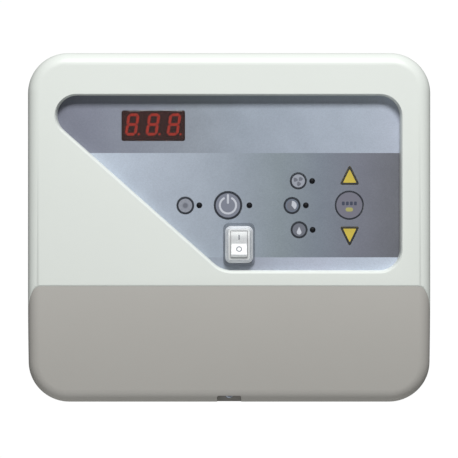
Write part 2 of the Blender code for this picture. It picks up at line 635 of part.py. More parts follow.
def make_switch():
    """Housing, tilting rocker, blades and clear splash boot."""
    width, height = housing_size()
    bezel_back = FILM_FRONT + GAP
    bezel_front = bezel_back + BEZEL
    back = bezel_back - HOUSING_DEPTH
    body = prism("switch_body", rounded_rect(SWITCH_X, SWITCH_Z, width, height, 0.0005, 1),
                 back, bezel_front - BEZEL / 2, WHITE)
    add(body, prism("bezel_tool", rounded_rect(SWITCH_X, SWITCH_Z, BEZEL_W, BEZEL_H, BEZEL_R),
                    bezel_back, bezel_front, None))
    well = rounded_rect(SWITCH_X, SWITCH_Z, width - 2 * HOUSING_WALL, height - 2 * HOUSING_WALL,
                        0.0004, 1)
    cut(body, prism("well_tool", well, bezel_front - 0.0095, bezel_front + 0.001, None))

    out = ROCKER_VALLEY
    rise = ROCKER_HALF * math.tan(ROCKER_TILT)
    pivot_depth = bezel_front - out * math.cos(ROCKER_TILT)
    radius = rocker_radius()
    corner = math.atan2(ROCKER_HALF, out + rise)
    skirt = [corner + (math.pi / 2 - corner) * i / 3 for i in range(1, 4)]
    upper = [(out + rise, ROCKER_HALF)]
    upper += [(radius * math.cos(a), radius * math.sin(a)) for a in skirt] + [(-0.003, 0.0055)]
    neutral = [(out, 0)] + upper + [(d, -z) for d, z in reversed(upper)]
    turn = ROCKER_TILT
    outline = [(pivot_depth + d * math.cos(turn) - z * math.sin(turn),
                SWITCH_Z + z * math.cos(turn) + d * math.sin(turn)) for d, z in neutral]
    side_extrusion("switch_rocker", outline, SWITCH_X - ROCKER_W / 2, SWITCH_X + ROCKER_W / 2, WHITE,
                   origin=(SWITCH_X, -pivot_depth, SWITCH_Z), sharp=math.radians(20))

    for i, side in enumerate((1, -1)):
        z = SWITCH_Z + side * BLADE_PITCH / 2
        block(f"switch_blade_{i + 1}", SWITCH_X - BLADE_W / 2, SWITCH_X + BLADE_W / 2,
              back - GAP - BLADE_L, back - GAP, z - BLADE_T / 2, z + BLADE_T / 2, BRASS)

    def boot_ring(inset, out, flange=False):
        w, h = (BOOT_FLANGE_W, BOOT_FLANGE_H) if flange else (BOOT_W, BOOT_H)
        return at_depth(rounded_rect(SWITCH_X, SWITCH_Z, w - 2 * inset, h - 2 * inset,
                                     BOOT_R - inset * 0.8, 4), bezel_back + out)

    top = BOOT_PROUD
    wall = BOOT_WALL
    shape = bmesh.new()
    skin(shape, [boot_ring(0.0022, top), boot_ring(0.0011, top - 0.0003), boot_ring(0.0004, top - 0.0011),
                 boot_ring(0.0001, top - 0.0024), boot_ring(0, wall), boot_ring(0, wall, True),
                 boot_ring(0, 0, True), boot_ring(wall, 0), boot_ring(wall, top - 0.0030),
                 boot_ring(wall + 0.0004, top - 0.0016), boot_ring(wall + 0.0018, top - wall)])
    finish("switch_boot", shape, CLEAR)


# ---- electronics in the back box ----------------------------------------------------------------
def make_power_board():
    x, top, bottom = POWER_BOARD_HALF_W, POWER_BOARD_TOP, POWER_BOARD_BOTTOM
    board = prism("power_board", rounded_rect(0, (top + bottom) / 2, 2 * x, top - bottom, 0.003, 2),
                  POWER_BOARD_RISE, POWER_FRONT, LAMINATE)
    for i, place in enumerate(board_holes()):
        cut(board, turned(f"board_hole_tool_{i}", [(0.0018, 0.006), (0.0018, 0.012)], place, None,
                          facets=12))
        turned(f"power_board_screw_{i + 1}",
               [(0.0015, 0.0042), (0.0015, PART_FOOT), (0.003, PART_FOOT), (0.003, PART_FOOT + 0.0014),
                (0.0022, PART_FOOT + 0.0022)], place, ZINC, facets=12)


def make_power_parts():
    """Relays, transformer, terminals, fuse, capacitor and connectors, all on the power board."""
    foot = PART_FOOT
    for i in range(3):
        prism(f"relay_{i + 1}", rounded_rect(RELAY_X + i * RELAY_PITCH, POWER_BOARD_TOP - RELAY_DROP,
                                             0.028, 0.032, 0.0015, 2), foot, foot + 0.020, RELAY)
    z = POWER_BOARD_TOP - CORE_DROP
    core = prism("transformer", rounded_rect(0.060, z, 0.042, 0.036, 0.001, 1), foot,
                 foot + 0.028, CORE)
    add(core, prism("bobbin_tool", rounded_rect(0.060, z, 0.028, 0.044, 0.004, 2), foot + 0.004,
                    foot + 0.024, None))
    z = POWER_BOARD_BOTTOM + TERMINAL_RISE
    mains = [(foot, z), (foot + 0.012, z), (foot + 0.015, z + 0.004), (foot + 0.021, z + 0.006),
             (foot + 0.021, z + 0.014), (foot + 0.015, z + 0.016), (foot + 0.012, z + 0.020),
             (foot, z + 0.020)]
    side_extrusion("mains_terminal_block", mains, MAINS_LEFT, MAINS_RIGHT, TERMINAL)
    z += 0.002
    sensor = [(foot, z), (foot + 0.007, z), (foot + 0.011, z + 0.004), (foot + 0.011, z + 0.010),
              (foot, z + 0.012)]
    side_extrusion("sensor_terminal_block", sensor, SENSOR_LEFT, SENSOR_RIGHT, TERMINAL)
    z = POWER_BOARD_TOP - FUSE_DROP
    holder = block("fuse_holder", FUSE_X - 0.015, FUSE_X + 0.015, foot, foot + 0.003,
                   z - 0.0045, z + 0.0045, BLACK)
    for side in (-1, 1):
        xs = sorted((FUSE_X + side * 0.0103, FUSE_X + side * 0.0130))
        add(holder, block(f"fuse_clip_tool_{side}", *xs, foot + 0.001, foot + 0.011,
                          z - 0.0035, z + 0.0035))
    turned("fuse", [(0.0026, FUSE_X - 0.010), (0.0026, FUSE_X + 0.010)], (-foot - 0.0066, z), GLASS,
           axis="X", facets=12)
    turned("capacitor", [(0.008, foot), (0.008, foot + 0.019), (0.0072, foot + 0.020)],
           (CAPACITOR_X, POWER_BOARD_TOP - CAPACITOR_DROP), SLEEVE, facets=20)
    front = BOARD_BACK - GAP
    turned("buzzer", [(0.006, front), (0.006, front - 0.007), (0.0052, front - 0.0075)],
           (-0.012, WINDOW_Z - 0.0086), BLACK, facets=20)

    cable_x, cable_w, thick = RIBBON_X, 0.025, 0.0009
    upper, lower = BOARD_TOP - 0.018, POWER_BOARD_TOP - PLUG_DROP
    plug = 0.0065
    block("control_connector", cable_x - cable_w / 2 - 0.002, cable_x + cable_w / 2 + 0.002,
          front - plug, front, upper - 0.003, upper + 0.003, BLACK)
    block("power_connector", cable_x - cable_w / 2 - 0.002, cable_x + cable_w / 2 + 0.002,
          foot, foot + 0.0085, lower - 0.003, lower + 0.003, BLACK)
    start = Vector((front - plug - GAP, upper))
    stop = Vector((foot + 0.0085 + GAP, lower))
    pull = Vector(((start.x - stop.x) * 0.6, 0))
    steps = 12
    centre, sides = [], []
    for i in range(steps + 1):
        t = i / steps
        a, b, c, d = (1 - t) ** 3, 3 * t * (1 - t) ** 2, 3 * t * t * (1 - t), t ** 3
        centre.append(a * start + b * (start - pull) + c * (stop + pull) + d * stop)
    for i, point in enumerate(centre):
        along = (centre[min(i + 1, steps)] - centre[max(i - 1, 0)]).normalized()
        if i in (0, steps):
            along = Vector((-1, 0))
        sides.append((point, Vector((-along.y, along.x)) * thick / 2))
    outline = [tuple(p + n) for p, n in sides] + [tuple(p - n) for p, n in reversed(sides)]
    side_extrusion("ribbon_cable", outline, cable_x - cable_w / 2, cable_x + cable_w / 2, RIBBON)


# ---- fasteners and cable entries ----------------------------------------------------------------
def make_screws():
    head_seat = SEAT_OUT + GAP
    turned("lower_cover_screw",
           [(0.0015, SEAT_OUT - 0.0078), (0.0015, head_seat), (0.0029, head_seat),
            (0.0029, head_seat + 0.0018), (0.0022, head_seat + 0.0026)], (0, LOWER_SCREW_Z), ZINC,
           facets=20, origin=(0, -SEAT_OUT, LOWER_SCREW_Z))
    for i, side in enumerate((-1, 1)):
        turned(f"front_cover_screw_{i + 1}",
               [(0.0017, SEAT_OUT - 0.010), (0.0017, head_seat), (0.0035, head_seat),
                (0.0035, head_seat + 0.0018), (0.0026, head_seat + 0.0026)],
               (side * COVER_SCREW_X, COVER_SCREW_Z), ZINC, facets=20)


def make_grommets():
    """Soft plugs that fill the cable entries until a cable is pushed through."""
    bottom = -HEIGHT / 2
    inside = bottom + WALL + GAP
    for i, x in enumerate(entry_places()):
        turned(f"cable_grommet_{i + 1}",
               [(0.006, bottom + 0.0012), (0.0075, bottom + GAP), (ENTRY_R - GAP, bottom + GAP),
                (ENTRY_R - GAP, inside), (ENTRY_R + 0.001, inside), (ENTRY_R + 0.001, inside + 0.0014),
                (0.0065, inside + 0.0014), (0.006, bottom + 0.0024)],
               (x, -ENTRY_OUT), RUBBER, axis="Z")


def clear_scene():
    for old in list(bpy.data.objects):
        bpy.data.objects.remove(old, do_unlink=True)


def main():
    clear_scene()
    make_back_box()
    make_front_cover()
    make_lower_cover()
    make_panel()
    for name in KEYS:
        make_key(name)
        make_tact(name)
    for name in LAMPS:
        make_lamp(name)
    make_switch()
    make_power_board()
    make_power_parts()
    make_screws()
    make_grommets()


main()
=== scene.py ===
"""Looks of a wall-mounted heater control unit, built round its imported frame.

+X is right, +Z is up and the front faces -Y. "Out" is the distance out from the wall, so a point
7 mm out has y = -0.007. Sizes are in millimetres; the small tools turn them into the frame's
metres.
"""

import logging
import math
from dataclasses import dataclass
from enum import Enum
from typing import Callable, Sequence

import bmesh
import bpy
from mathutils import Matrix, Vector


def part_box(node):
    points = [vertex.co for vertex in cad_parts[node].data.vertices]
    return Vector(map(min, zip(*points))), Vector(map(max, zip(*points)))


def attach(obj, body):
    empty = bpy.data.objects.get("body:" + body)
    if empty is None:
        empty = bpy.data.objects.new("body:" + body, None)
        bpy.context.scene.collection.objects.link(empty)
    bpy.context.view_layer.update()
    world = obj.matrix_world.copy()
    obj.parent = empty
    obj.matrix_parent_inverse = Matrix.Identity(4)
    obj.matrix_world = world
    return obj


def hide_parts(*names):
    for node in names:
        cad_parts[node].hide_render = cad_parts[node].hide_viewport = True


LOG = logging.getLogger("control_unit")
MM = 0.001
Point = tuple[float, float]
Ring = list[Vector]

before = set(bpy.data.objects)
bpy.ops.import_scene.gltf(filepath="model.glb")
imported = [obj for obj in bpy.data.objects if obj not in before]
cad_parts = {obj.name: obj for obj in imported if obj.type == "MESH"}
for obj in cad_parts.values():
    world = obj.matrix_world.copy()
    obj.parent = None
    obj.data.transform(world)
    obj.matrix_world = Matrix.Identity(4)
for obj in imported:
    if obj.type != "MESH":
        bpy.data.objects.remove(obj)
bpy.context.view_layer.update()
CASE = "casing"
SHARP = 32.0  # degrees: an edge that turns by more than this stays sharp
SINK = 0.02  # how far a print or a mark reaches into the face under it
WINDOW_AT: Point = (-47.1, 63.6)
WINDOW_SIZE: Point = (39.2, 18.8)
WINDOW_R = 1.2
SWITCH_AT: Point = (6.2, -10.2)


# ---- small tools --------------------------------------------------------------------------------
def linear(colour: str) -> tuple[float, float, float, float]:
    """Turn an sRGB hex colour into linear RGBA."""
    parts = [int(colour[i:i + 2], 16) / 255 for i in (0, 2, 4)]
    red, green, blue = (c / 12.92 if c <= 0.04045 else ((c + 0.055) / 1.055) ** 2.4 for c in parts)
    return red, green, blue, 1.0


def add_node(tree: bpy.types.NodeTree, kind: str, inputs: dict | None = None,
             **settings: object) -> bpy.types.Node:
    """Add a node with its settings and links.

    Args:
        tree: the node tree that gets the node.
        kind: the node's type, such as "ShaderNodeMix".
        inputs: socket name or number to a value, or to the output socket that feeds it.
        **settings: the node's own properties.

    Returns:
        The new node.
    """
    node = tree.nodes.new(kind)
    for name, value in settings.items():
        setattr(node, name, value)
    for socket, value in (inputs or {}).items():
        if isinstance(value, bpy.types.NodeSocket):
            tree.links.new(value, node.inputs[socket])
        else:
            node.inputs[socket].default_value = value
    return node


def blend(tree: bpy.types.NodeTree, share: bpy.types.NodeSocket, low: object,
          high: object) -> bpy.types.NodeSocket:
    """Mix two colours by a share."""
    mix = add_node(tree, "ShaderNodeMix", {0: share, 6: low, 7: high}, data_type="RGBA")
    return mix.outputs[2]


def noise(tree: bpy.types.NodeTree, place: bpy.types.NodeSocket, size_mm: float,
          detail: float) -> bpy.types.NodeSocket:
    """Noise whose patches are of a size in millimetres."""
    made = add_node(tree, "ShaderNodeTexNoise",
                    {"Vector": place, "Scale": 1 / (size_mm * MM), "Detail": detail})
    return made.outputs[0]


@dataclass(frozen=True)
class Place:
    """Where a frame node lies, in millimetres: across, out from the wall, and up."""

    left: float
    right: float
    back: float
    front: float
    bottom: float
    top: float

    @classmethod
    def of(cls, node: str) -> "Place":
        """Measure a node of the frame."""
        low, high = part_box(node)
        return cls(low[0] / MM, high[0] / MM, -high[1] / MM, -low[1] / MM, low[2] / MM,
                   high[2] / MM)

    @property
    def x(self) -> float:
        """Middle, across."""
        return (self.left + self.right) / 2

    @property
    def z(self) -> float:
        """Middle, up."""
        return (self.bottom + self.top) / 2


def arc(cx: float, cz: float, radius: float, start: float, stop: float, steps: int) -> list[Point]:
    """Points along an arc, with angles in radians from +X towards +Z."""
    turns = [start + (stop - start) * i / steps for i in range(steps + 1)]
    return [(cx + radius * math.cos(a), cz + radius * math.sin(a)) for a in turns]


def circle(cx: float, cz: float, radius: float, facets: int = 72) -> list[Point]:
    """Points round a circle."""
    return arc(cx, cz, radius, 0, 2 * math.pi * (facets - 1) / facets, facets - 1)


def quarter(steps: int) -> list[float]:
    """Angles from nothing to a quarter turn."""
    return [math.pi / 2 * i / steps for i in range(steps + 1)]


def spun(flat: Sequence[Point], x: float, z: float, turn: float) -> list[Point]:
    """Turn a flat shape about the origin and move it to (x, z)."""
    c, s = math.cos(turn), math.sin(turn)
    return [(x + u * c - v * s, z + u * s + v * c) for u, v in flat]


def rounded_rect(cx: float, cz: float, width: float, height: float, radius: float,
                 steps: int = 8) -> list[Point]:
    """A rounded rectangle, anticlockwise from its lower right corner."""
    points: list[Point] = []
    for i, (sx, sz) in enumerate(((1, -1), (1, 1), (-1, 1), (-1, -1))):
        start = math.pi / 2 * (i - 1)
        points += arc(cx + sx * (width / 2 - radius), cz + sz * (height / 2 - radius), radius,
                      start, start + math.pi / 2, steps)
    return points


def grown(corners: Sequence[Point], grow: float) -> list[Point]:
    """Move each side of an anticlockwise polygon outwards and return the new corners."""
    lines = []
    for (x0, z0), (x1, z1) in zip(corners, [*corners[1:], corners[0]]):
        length = math.hypot(x1 - x0, z1 - z0)
        nx, nz = (z1 - z0) / length, -(x1 - x0) / length
        lines.append((nx, nz, nx * x0 + nz * z0 + grow))
    moved = []
    for (a, b, c), (d, e, f) in zip([lines[-1], *lines[:-1]], lines):
        det = a * e - b * d
        moved.append(((c * e - b * f) / det, (a * f - c * d) / det))
    return moved


def filleted(corners: Sequence[Point], radii: Sequence[float], steps: int = 16) -> list[Point]:
    """Round each corner of an anticlockwise polygon."""
    points: list[Point] = []
    for i, radius in enumerate(radii):
        here = Vector(corners[i])
        before = (Vector(corners[i - 1]) - here).normalized()
        after = (Vector(corners[(i + 1) % len(corners)]) - here).normalized()
        half = before.angle(after) / 2
        centre = here + (before + after).normalized() * radius / math.sin(half)
        touch = here + before * radius / math.tan(half) - centre
        first = math.atan2(touch.y, touch.x)
        points += arc(centre.x, centre.y, radius, first, first + math.pi - 2 * half, steps)
    return points


def at_out(outline: Sequence[Point], out: float) -> Ring:
    """Place an (x, z) outline in mm at a distance out from the wall, in metres."""
    return [Vector((x, -out, z)) * MM for x, z in outline]


def skin(shape: bmesh.types.BMesh, rings: Sequence[Ring], closed: bool = False,
         ladder: bool = False) -> None:
    """Bridge rings in order.

    Args:
        shape: the bmesh that gets the faces.
        rings: loops of equally many points.
        closed: join the last ring to the first, in place of capping both ends.
        ladder: cap with rungs between the two sides of a left-right symmetric ring.
    """
    loops = [[shape.verts.new(p) for p in ring] for ring in rings]
    pairs = list(zip(loops, loops[1:])) + ([(loops[-1], loops[0])] if closed else [])
    for first, second in pairs:
        for i in range(len(first)):
            j = (i + 1) % len(first)
            shape.faces.new((first[i], first[j], second[j], second[i]))
    for end in () if closed else (loops[0], loops[-1]):
        if ladder:
            half = len(end) // 2
            right, left = end[:half], end[half:][::-1]
            for i in range(half - 1):
                shape.faces.new((right[i], right[i + 1], left[i + 1], left[i]))
        else:
            shape.faces.new(end)


def body_of_rings(name: str, rings: Sequence[Ring], closed: bool = False, ladder: bool = False,
                  sharp_deg: float = SHARP) -> bpy.types.Object:
    """A smooth-shaded object skinned over rings, its faces pointing out."""
    shape = bmesh.new()
    skin(shape, rings, closed, ladder)
    return from_shape(name, shape, sharp_deg)


def from_shape(name: str, shape: bmesh.types.BMesh,
               sharp_deg: float = SHARP) -> bpy.types.Object:
    """Turn a closed bmesh into an object at the origin."""
    bmesh.ops.recalc_face_normals(shape, faces=shape.faces)
    mesh = bpy.data.meshes.new(name)
    shape.to_mesh(mesh)
    shape.free()
    return from_mesh(name, mesh, sharp_deg)


def from_mesh(name: str, mesh: bpy.types.Mesh, sharp_deg: float = SHARP) -> bpy.types.Object:
    """Link a mesh as an object, smooth but for its sharp edges."""
    mesh.shade_smooth()
    mesh.set_sharp_from_angle(angle=math.radians(sharp_deg))
    made = bpy.data.objects.new(name, mesh)
    bpy.context.scene.collection.objects.link(made)
    return made


def prism(name: str, outline: Sequence[Point], back: float, front: float) -> bpy.types.Object:
    """An (x, z) outline extruded between two distances out from the wall."""
    return body_of_rings(name, [at_out(outline, back), at_out(outline, front)])


def turned(name: str, profile: Sequence[Point], centre: Point, axis: str = "Y",
           facets: int = 48) -> bpy.types.Object:
    """A solid of revolution.

    Args:
        name: the object's name.
        profile: (radius, distance) pairs; the distance is out from the wall on axis Y, and a
            plain coordinate on X and Z.
        centre: (x, z), (y, z) or (x, y) of the axis.
        axis: Y, X or Z.
        facets: sides of the round.

    Returns:
        The new object.
    """
    place: dict[str, Callable[[float, float, float], Vector]] = {
        "Y": lambda a, b, d: Vector((a, -d, b)),
        "X": lambda a, b, d: Vector((d, a, b)),
        "Z": lambda a, b, d: Vector((a, b, d))}
    rings = [[place[axis](a, b, along) * MM for a, b in circle(*centre, radius, facets)]
             for radius, along in profile]
    return body_of_rings(name, rings)


def evaluated_mesh(made: bpy.types.Object) -> bpy.types.Mesh:
    """The object's mesh with its modifiers in it."""
    bpy.context.view_layer.update()
    graph = bpy.context.evaluated_depsgraph_get()
    return bpy.data.meshes.new_from_object(made.evaluated_get(graph))


def settle(made: bpy.types.Object) -> bpy.types.Object:
    """Put an object's modifiers into its mesh and remove them."""
    mesh = evaluated_mesh(made)
    mesh.name = made.name
    made.modifiers.clear()
    made.data = mesh
    return made


def carve(target: bpy.types.Object, *tools: bpy.types.Object,
          operation: str = "DIFFERENCE") -> bpy.types.Object:
    """Cut, join or intersect an object with tools, which are used up."""
    for tool in tools:
        step = target.modifiers.new("carve", "BOOLEAN")
        step.operation, step.solver, step.object = operation, "EXACT", tool
    settle(target)
    target.data.set_sharp_from_angle(angle=math.radians(SHARP))
    for tool in tools:
        bpy.data.objects.remove(tool, do_unlink=True)
    return target


def soften(made: bpy.types.Object, width_mm: float, segments: int = 2,
           angle_deg: float = 35) -> bpy.types.Object:
    """Round the sharp edges, as a mould or a cutter leaves them."""
    step = made.modifiers.new("soft_edges", "BEVEL")
    step.width, step.segments = width_mm * MM, segments
    step.limit_method, step.angle_limit = "ANGLE", math.radians(angle_deg)
    step.use_clamp_overlap = True
    step.harden_normals = False
    return settle(made)


def flatten_shading(made: bpy.types.Object) -> bpy.types.Object:
    """Keep the large faces' shading flat beside their rounded edges."""
    step = made.modifiers.new("even_shading", "WEIGHTED_NORMAL")
    step.keep_sharp = True
    step.weight = 80
    return settle(made)


def deliver(made: bpy.types.Object, finish: "Finish", body: str, slot: str,
            *nodes: str) -> None:
    """Dress a finished piece and hand it to the frame.

    Args:
        made: the piece.
        finish: its surface finish.
        body: the frame's body that it moves with.
        slot: not used.
        *nodes: the frame's nodes that it stands for.
    """
    made.data.materials.clear()
    made.data.materials.append(finish.material())
    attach(made, body)
    if nodes:
        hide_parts(*nodes)
    LOG.info("%s rides on %s: %d faces", made.name, body, len(made.data.polygons))


def refined(node: str, finish: "Finish", slot: str, edge_mm: float, segments: int = 2) -> None:
    """Replace a node of the casing by a clean copy with softened edges.

    Args:
        node: the frame's node.
        finish: its surface finish.
        slot: not used; it is only passed on to deliver.
        edge_mm: radius of the softened edges.
        segments: steps across each softened edge.
    """
    shape = bmesh.new()
    shape.from_mesh(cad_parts[node].data)
    bmesh.ops.remove_doubles(shape, verts=shape.verts, dist=1e-6)
    bmesh.ops.dissolve_limit(shape, angle_limit=math.radians(0.5), verts=shape.verts,
                             edges=shape.edges)
    mesh = bpy.data.meshes.new(node)
    shape.to_mesh(mesh)
    shape.free()
    made = from_mesh(f"{node}_moulding", mesh)
    soften(made, edge_mm, segments)
    flatten_shading(made)
    deliver(made, finish, CASE, slot, node)


# ---- finishes -----------------------------------------------------------------------------------
@dataclass(frozen=True)
class Finish:
    """A surface: what it is made of and how it was made.

    The grain is the fine texture that the tool leaves, the mottle is the slow unevenness of colour
    across a moulding, and the spread is how much the gloss wanders.
    """

    name: str
    colour: str
    roughness: float
    metallic: float = 0.0
    ior: float = 1.5
    grain_mm: float = 1.2
    grain_depth_mm: float = 0.012
    mottle: float = 0.03
    mottle_mm: float = 45.0
    spread: float = 0.05
    transmission: float = 0.0
    coat: float = 0.0
    glow: float = 0.0

    def material(self) -> bpy.types.Material:
        """The finish as a material, made once."""
        found = bpy.data.materials.get(self.name)
        if found:
            return found
        made = bpy.data.materials.new(self.name)
        made.use_nodes = True
        tree = made.node_tree
        shader = tree.nodes["Principled BSDF"]
        shader.inputs["Metallic"].default_value = self.metallic
        if not self.metallic:
            shader.inputs["IOR"].default_value = self.ior
        shader.inputs["Transmission Weight"].default_value = self.transmission
        shader.inputs["Coat Weight"].default_value = self.coat
        place = add_node(tree, "ShaderNodeTexCoord").outputs["Object"]
        tree.links.new(self.colours(tree, place), shader.inputs["Base Color"])
        tree.links.new(self.gloss(tree, place), shader.inputs["Roughness"])
        tree.links.new(self.relief(tree, place), shader.inputs["Normal"])
        if self.glow:
            shader.inputs["Emission Color"].default_value = linear(self.colour)
            shader.inputs["Emission Strength"].default_value = self.glow
        return made

    def shade(self, share: float) -> tuple[float, float, float, float]:
        """The finish's own colour, made lighter or darker by a share."""
        red, green, blue, _ = linear(self.colour)
        return (min(1.0, red * (1 + share)), min(1.0, green * (1 + share)),
                min(1.0, blue * (1 + share)), 1.0)

    def colours(self, tree: bpy.types.NodeTree,
                place: bpy.types.NodeSocket) -> bpy.types.NodeSocket:
        """Colour with the slow mottle of a moulding."""
        return blend(tree, noise(tree, place, self.mottle_mm, 3.0), self.shade(-self.mottle),
                     self.shade(self.mottle))

    def gloss(self, tree: bpy.types.NodeTree,
              place: bpy.types.NodeSocket) -> bpy.types.NodeSocket:
        """Roughness that wanders a little, as handling and moulding leave it."""
        cloud = noise(tree, place, self.mottle_mm * 0.35, 4.0)
        low, high = self.roughness - self.spread, self.roughness + self.spread
        ranged = add_node(tree, "ShaderNodeMapRange",
                          {0: cloud, 1: 0.3, 2: 0.7, 3: max(0.02, low), 4: high})
        return ranged.outputs[0]

    def relief(self, tree: bpy.types.NodeTree,
               place: bpy.types.NodeSocket) -> bpy.types.NodeSocket:
        """Fine grain as a bump."""
        return self.raised(tree, noise(tree, place, self.grain_mm, 2.0))

    def raised(self, tree: bpy.types.NodeTree,
               height: bpy.types.NodeSocket) -> bpy.types.NodeSocket:
        """A pattern raised by the depth of the grain."""
        bump = add_node(tree, "ShaderNodeBump",
                        {"Strength": 1.0, "Distance": self.grain_depth_mm * MM,
                         "Height": height})
        return bump.outputs[0]


@dataclass(frozen=True)
class Ink(Finish):
    """Screen ink: a thin level coat, flat in colour and duller than the film under it."""

    roughness: float = 0.4
    grain_depth_mm: float = 0.002


@dataclass(frozen=True)
class Band:
    """One printed band of the film: its lower edge and its colours from left to right."""

    bottom_mm: float
    stops: tuple[tuple[float, str], ...]


@dataclass(frozen=True)
class MetallicFilm(Finish):
    """Polyester film, reverse printed with silver flake ink in bands that fade from side to side.

    Real flake is 0.05 mm; it is drawn at flake_mm so that the sparkle still shows from a metre.
    """

    bands: tuple[Band, ...] = ()
    flake_mm: float = 0.55
    flake: float = 0.05
    left_mm: float = -110.0
    right_mm: float = 110.0

    def colours(self, tree: bpy.types.NodeTree,
                place: bpy.types.NodeSocket) -> bpy.types.NodeSocket:
        """Bands by height, each a ramp across the width, with flake over all of them."""
        axes = add_node(tree, "ShaderNodeSeparateXYZ", {0: place})
        across = add_node(tree, "ShaderNodeMapRange",
                          {0: axes.outputs[0], 1: self.left_mm * MM, 2: self.right_mm * MM})
        colour: bpy.types.NodeSocket | None = None
        for band in reversed(self.bands):
            ramp = add_node(tree, "ShaderNodeValToRGB", {0: across.outputs[0]})
            span = self.right_mm - self.left_mm
            marks = ramp.color_ramp.elements
            while len(marks) < len(band.stops):
                marks.new(0.5)
            for mark, (x_mm, _) in zip(marks, band.stops):
                mark.position = (x_mm - self.left_mm) / span
            for mark, (_, stop) in zip(marks, band.stops):
                mark.color = linear(stop)
            if colour is None:
                colour = ramp.outputs[0]
                continue
            above = add_node(tree, "ShaderNodeMath",
                             {0: axes.outputs[2], 1: band.bottom_mm * MM},
                             operation="GREATER_THAN")
            colour = blend(tree, above.outputs[0], colour, ramp.outputs[0])
        flakes = add_node(tree, "ShaderNodeTexVoronoi",
                          {"Vector": place, "Scale": 1 / (self.flake_mm * MM)})
        glint = add_node(tree, "ShaderNodeSeparateColor", {0: flakes.outputs["Color"]})
        gain = add_node(tree, "ShaderNodeMapRange",
                        {0: glint.outputs[0], 3: 1 - self.flake, 4: 1 + self.flake})
        lit = add_node(tree, "ShaderNodeVectorMath",
                       {0: colour, 1: gain.outputs[0]}, operation="MULTIPLY")
        return lit.outputs[0]


@dataclass(frozen=True)
class BrushedMetal(Finish):
    """Rolled or drawn metal, with fine streaks along one axis."""

    streak_mm: float = 0.5
    stretch: float = 14.0

    def relief(self, tree: bpy.types.NodeTree,
               place: bpy.types.NodeSocket) -> bpy.types.NodeSocket:
        """Streaks, drawn by stretching the noise along X."""
        drawn = add_node(tree, "ShaderNodeMapping",
                         {"Vector": place, "Scale": (1 / self.stretch, 1.0, 1.0)})
        return self.raised(tree, noise(tree, drawn.outputs[0], self.streak_mm, 3.0))


@dataclass(frozen=True)
class SolderMask(Finish):
    """Glass laminate under green lacquer; copper tracks show as paler, slightly raised lines."""

    track_mm: float = 2.4
    track_colour: str = "2F7A52"

    def colours(self, tree: bpy.types.NodeTree,
                place: bpy.types.NodeSocket) -> bpy.types.NodeSocket:
        """Right-angled cells whose edges read as tracks."""
        cells = add_node(tree, "ShaderNodeTexVoronoi",
                         {"Vector": place, "Scale": 1 / (self.track_mm * 2.2 * MM)},
                         distance="CHEBYCHEV", feature="F2")
        edge = add_node(tree, "ShaderNodeMapRange", {0: cells.outputs[0], 1: 0.56, 2: 0.60})
        return blend(tree, edge.outputs[0], self.shade(0.0), linear(self.track_colour))


@dataclass(frozen=True)
class ClearRubber(Finish):
    """Thin clear silicone: seen through from the front, milky where the wall is seen on edge."""

    clearest: float = 0.08
    milkiest: float = 0.9
    # painted shade: the flange's dark blue-grey stands for the shadow that falls round the boot's
    # base
    painted_shade_foot_colour: str = "5A6373"
    foot_out_mm: float = 64.3

    def material(self) -> bpy.types.Material:
        """The base finish with its see-through share led by the viewing slope."""
        found = bpy.data.materials.get(self.name)
        if found:
            return found
        made = super().material()
        tree = made.node_tree
        slope = add_node(tree, "ShaderNodeLayerWeight", {"Blend": 0.35})
        share = add_node(tree, "ShaderNodeMapRange",
                         {0: slope.outputs["Facing"], 1: 0.02, 2: 0.6, 3: self.clearest,
                          4: self.milkiest})
        tree.links.new(share.outputs[0], tree.nodes["Principled BSDF"].inputs["Alpha"])
        return made

    def colours(self, tree: bpy.types.NodeTree,
                place: bpy.types.NodeSocket) -> bpy.types.NodeSocket:
        """White above the flange; the flange is painted dark blue-grey, a painted shade for the
        shadow round the boot's base.
        """
        axes = add_node(tree, "ShaderNodeSeparateXYZ", {0: place})
        above = add_node(tree, "ShaderNodeMapRange",
                         {0: axes.outputs[1], 1: -(self.foot_out_mm - 0.3) * MM,
                          2: -(self.foot_out_mm + 0.5) * MM})
        return blend(tree, above.outputs[0], linear(self.painted_shade_foot_colour), self.shade(0.0))


# Each finish is named for the real surface, and the line above it says what that gives the eye.
# Moulded grain is drawn coarser than the real 0.1 mm so that it shows.

# ABS from a spark-eroded mould: an even satin sheen with soft highlights along the edges.
CREAM_ABS = Finish("cream_abs_spark_eroded", "DBE0DB", 0.42, grain_mm=1.0, grain_depth_mm=0.010,
                   mottle=0.012, spread=0.012)
# The same resin from a coarser mould face: a shade duller than the cream beside it.
GREY_ABS = Finish("grey_abs_spark_eroded", "AEACA7", 0.48, grain_mm=1.0, grain_depth_mm=0.012,
                  mottle=0.015, spread=0.012)
# Moulded without a show face: flat, and slightly uneven in colour.
TRAY_ABS = Finish("grey_abs_tray", "A9A9A4", 0.5, grain_mm=1.2, grain_depth_mm=0.015,
                  mottle=0.02, spread=0.02)
# Plain unpolished ABS behind the film: pale and dull.
CARRIER_ABS = Finish("pale_abs_carrier", "C9CCC8", 0.5)
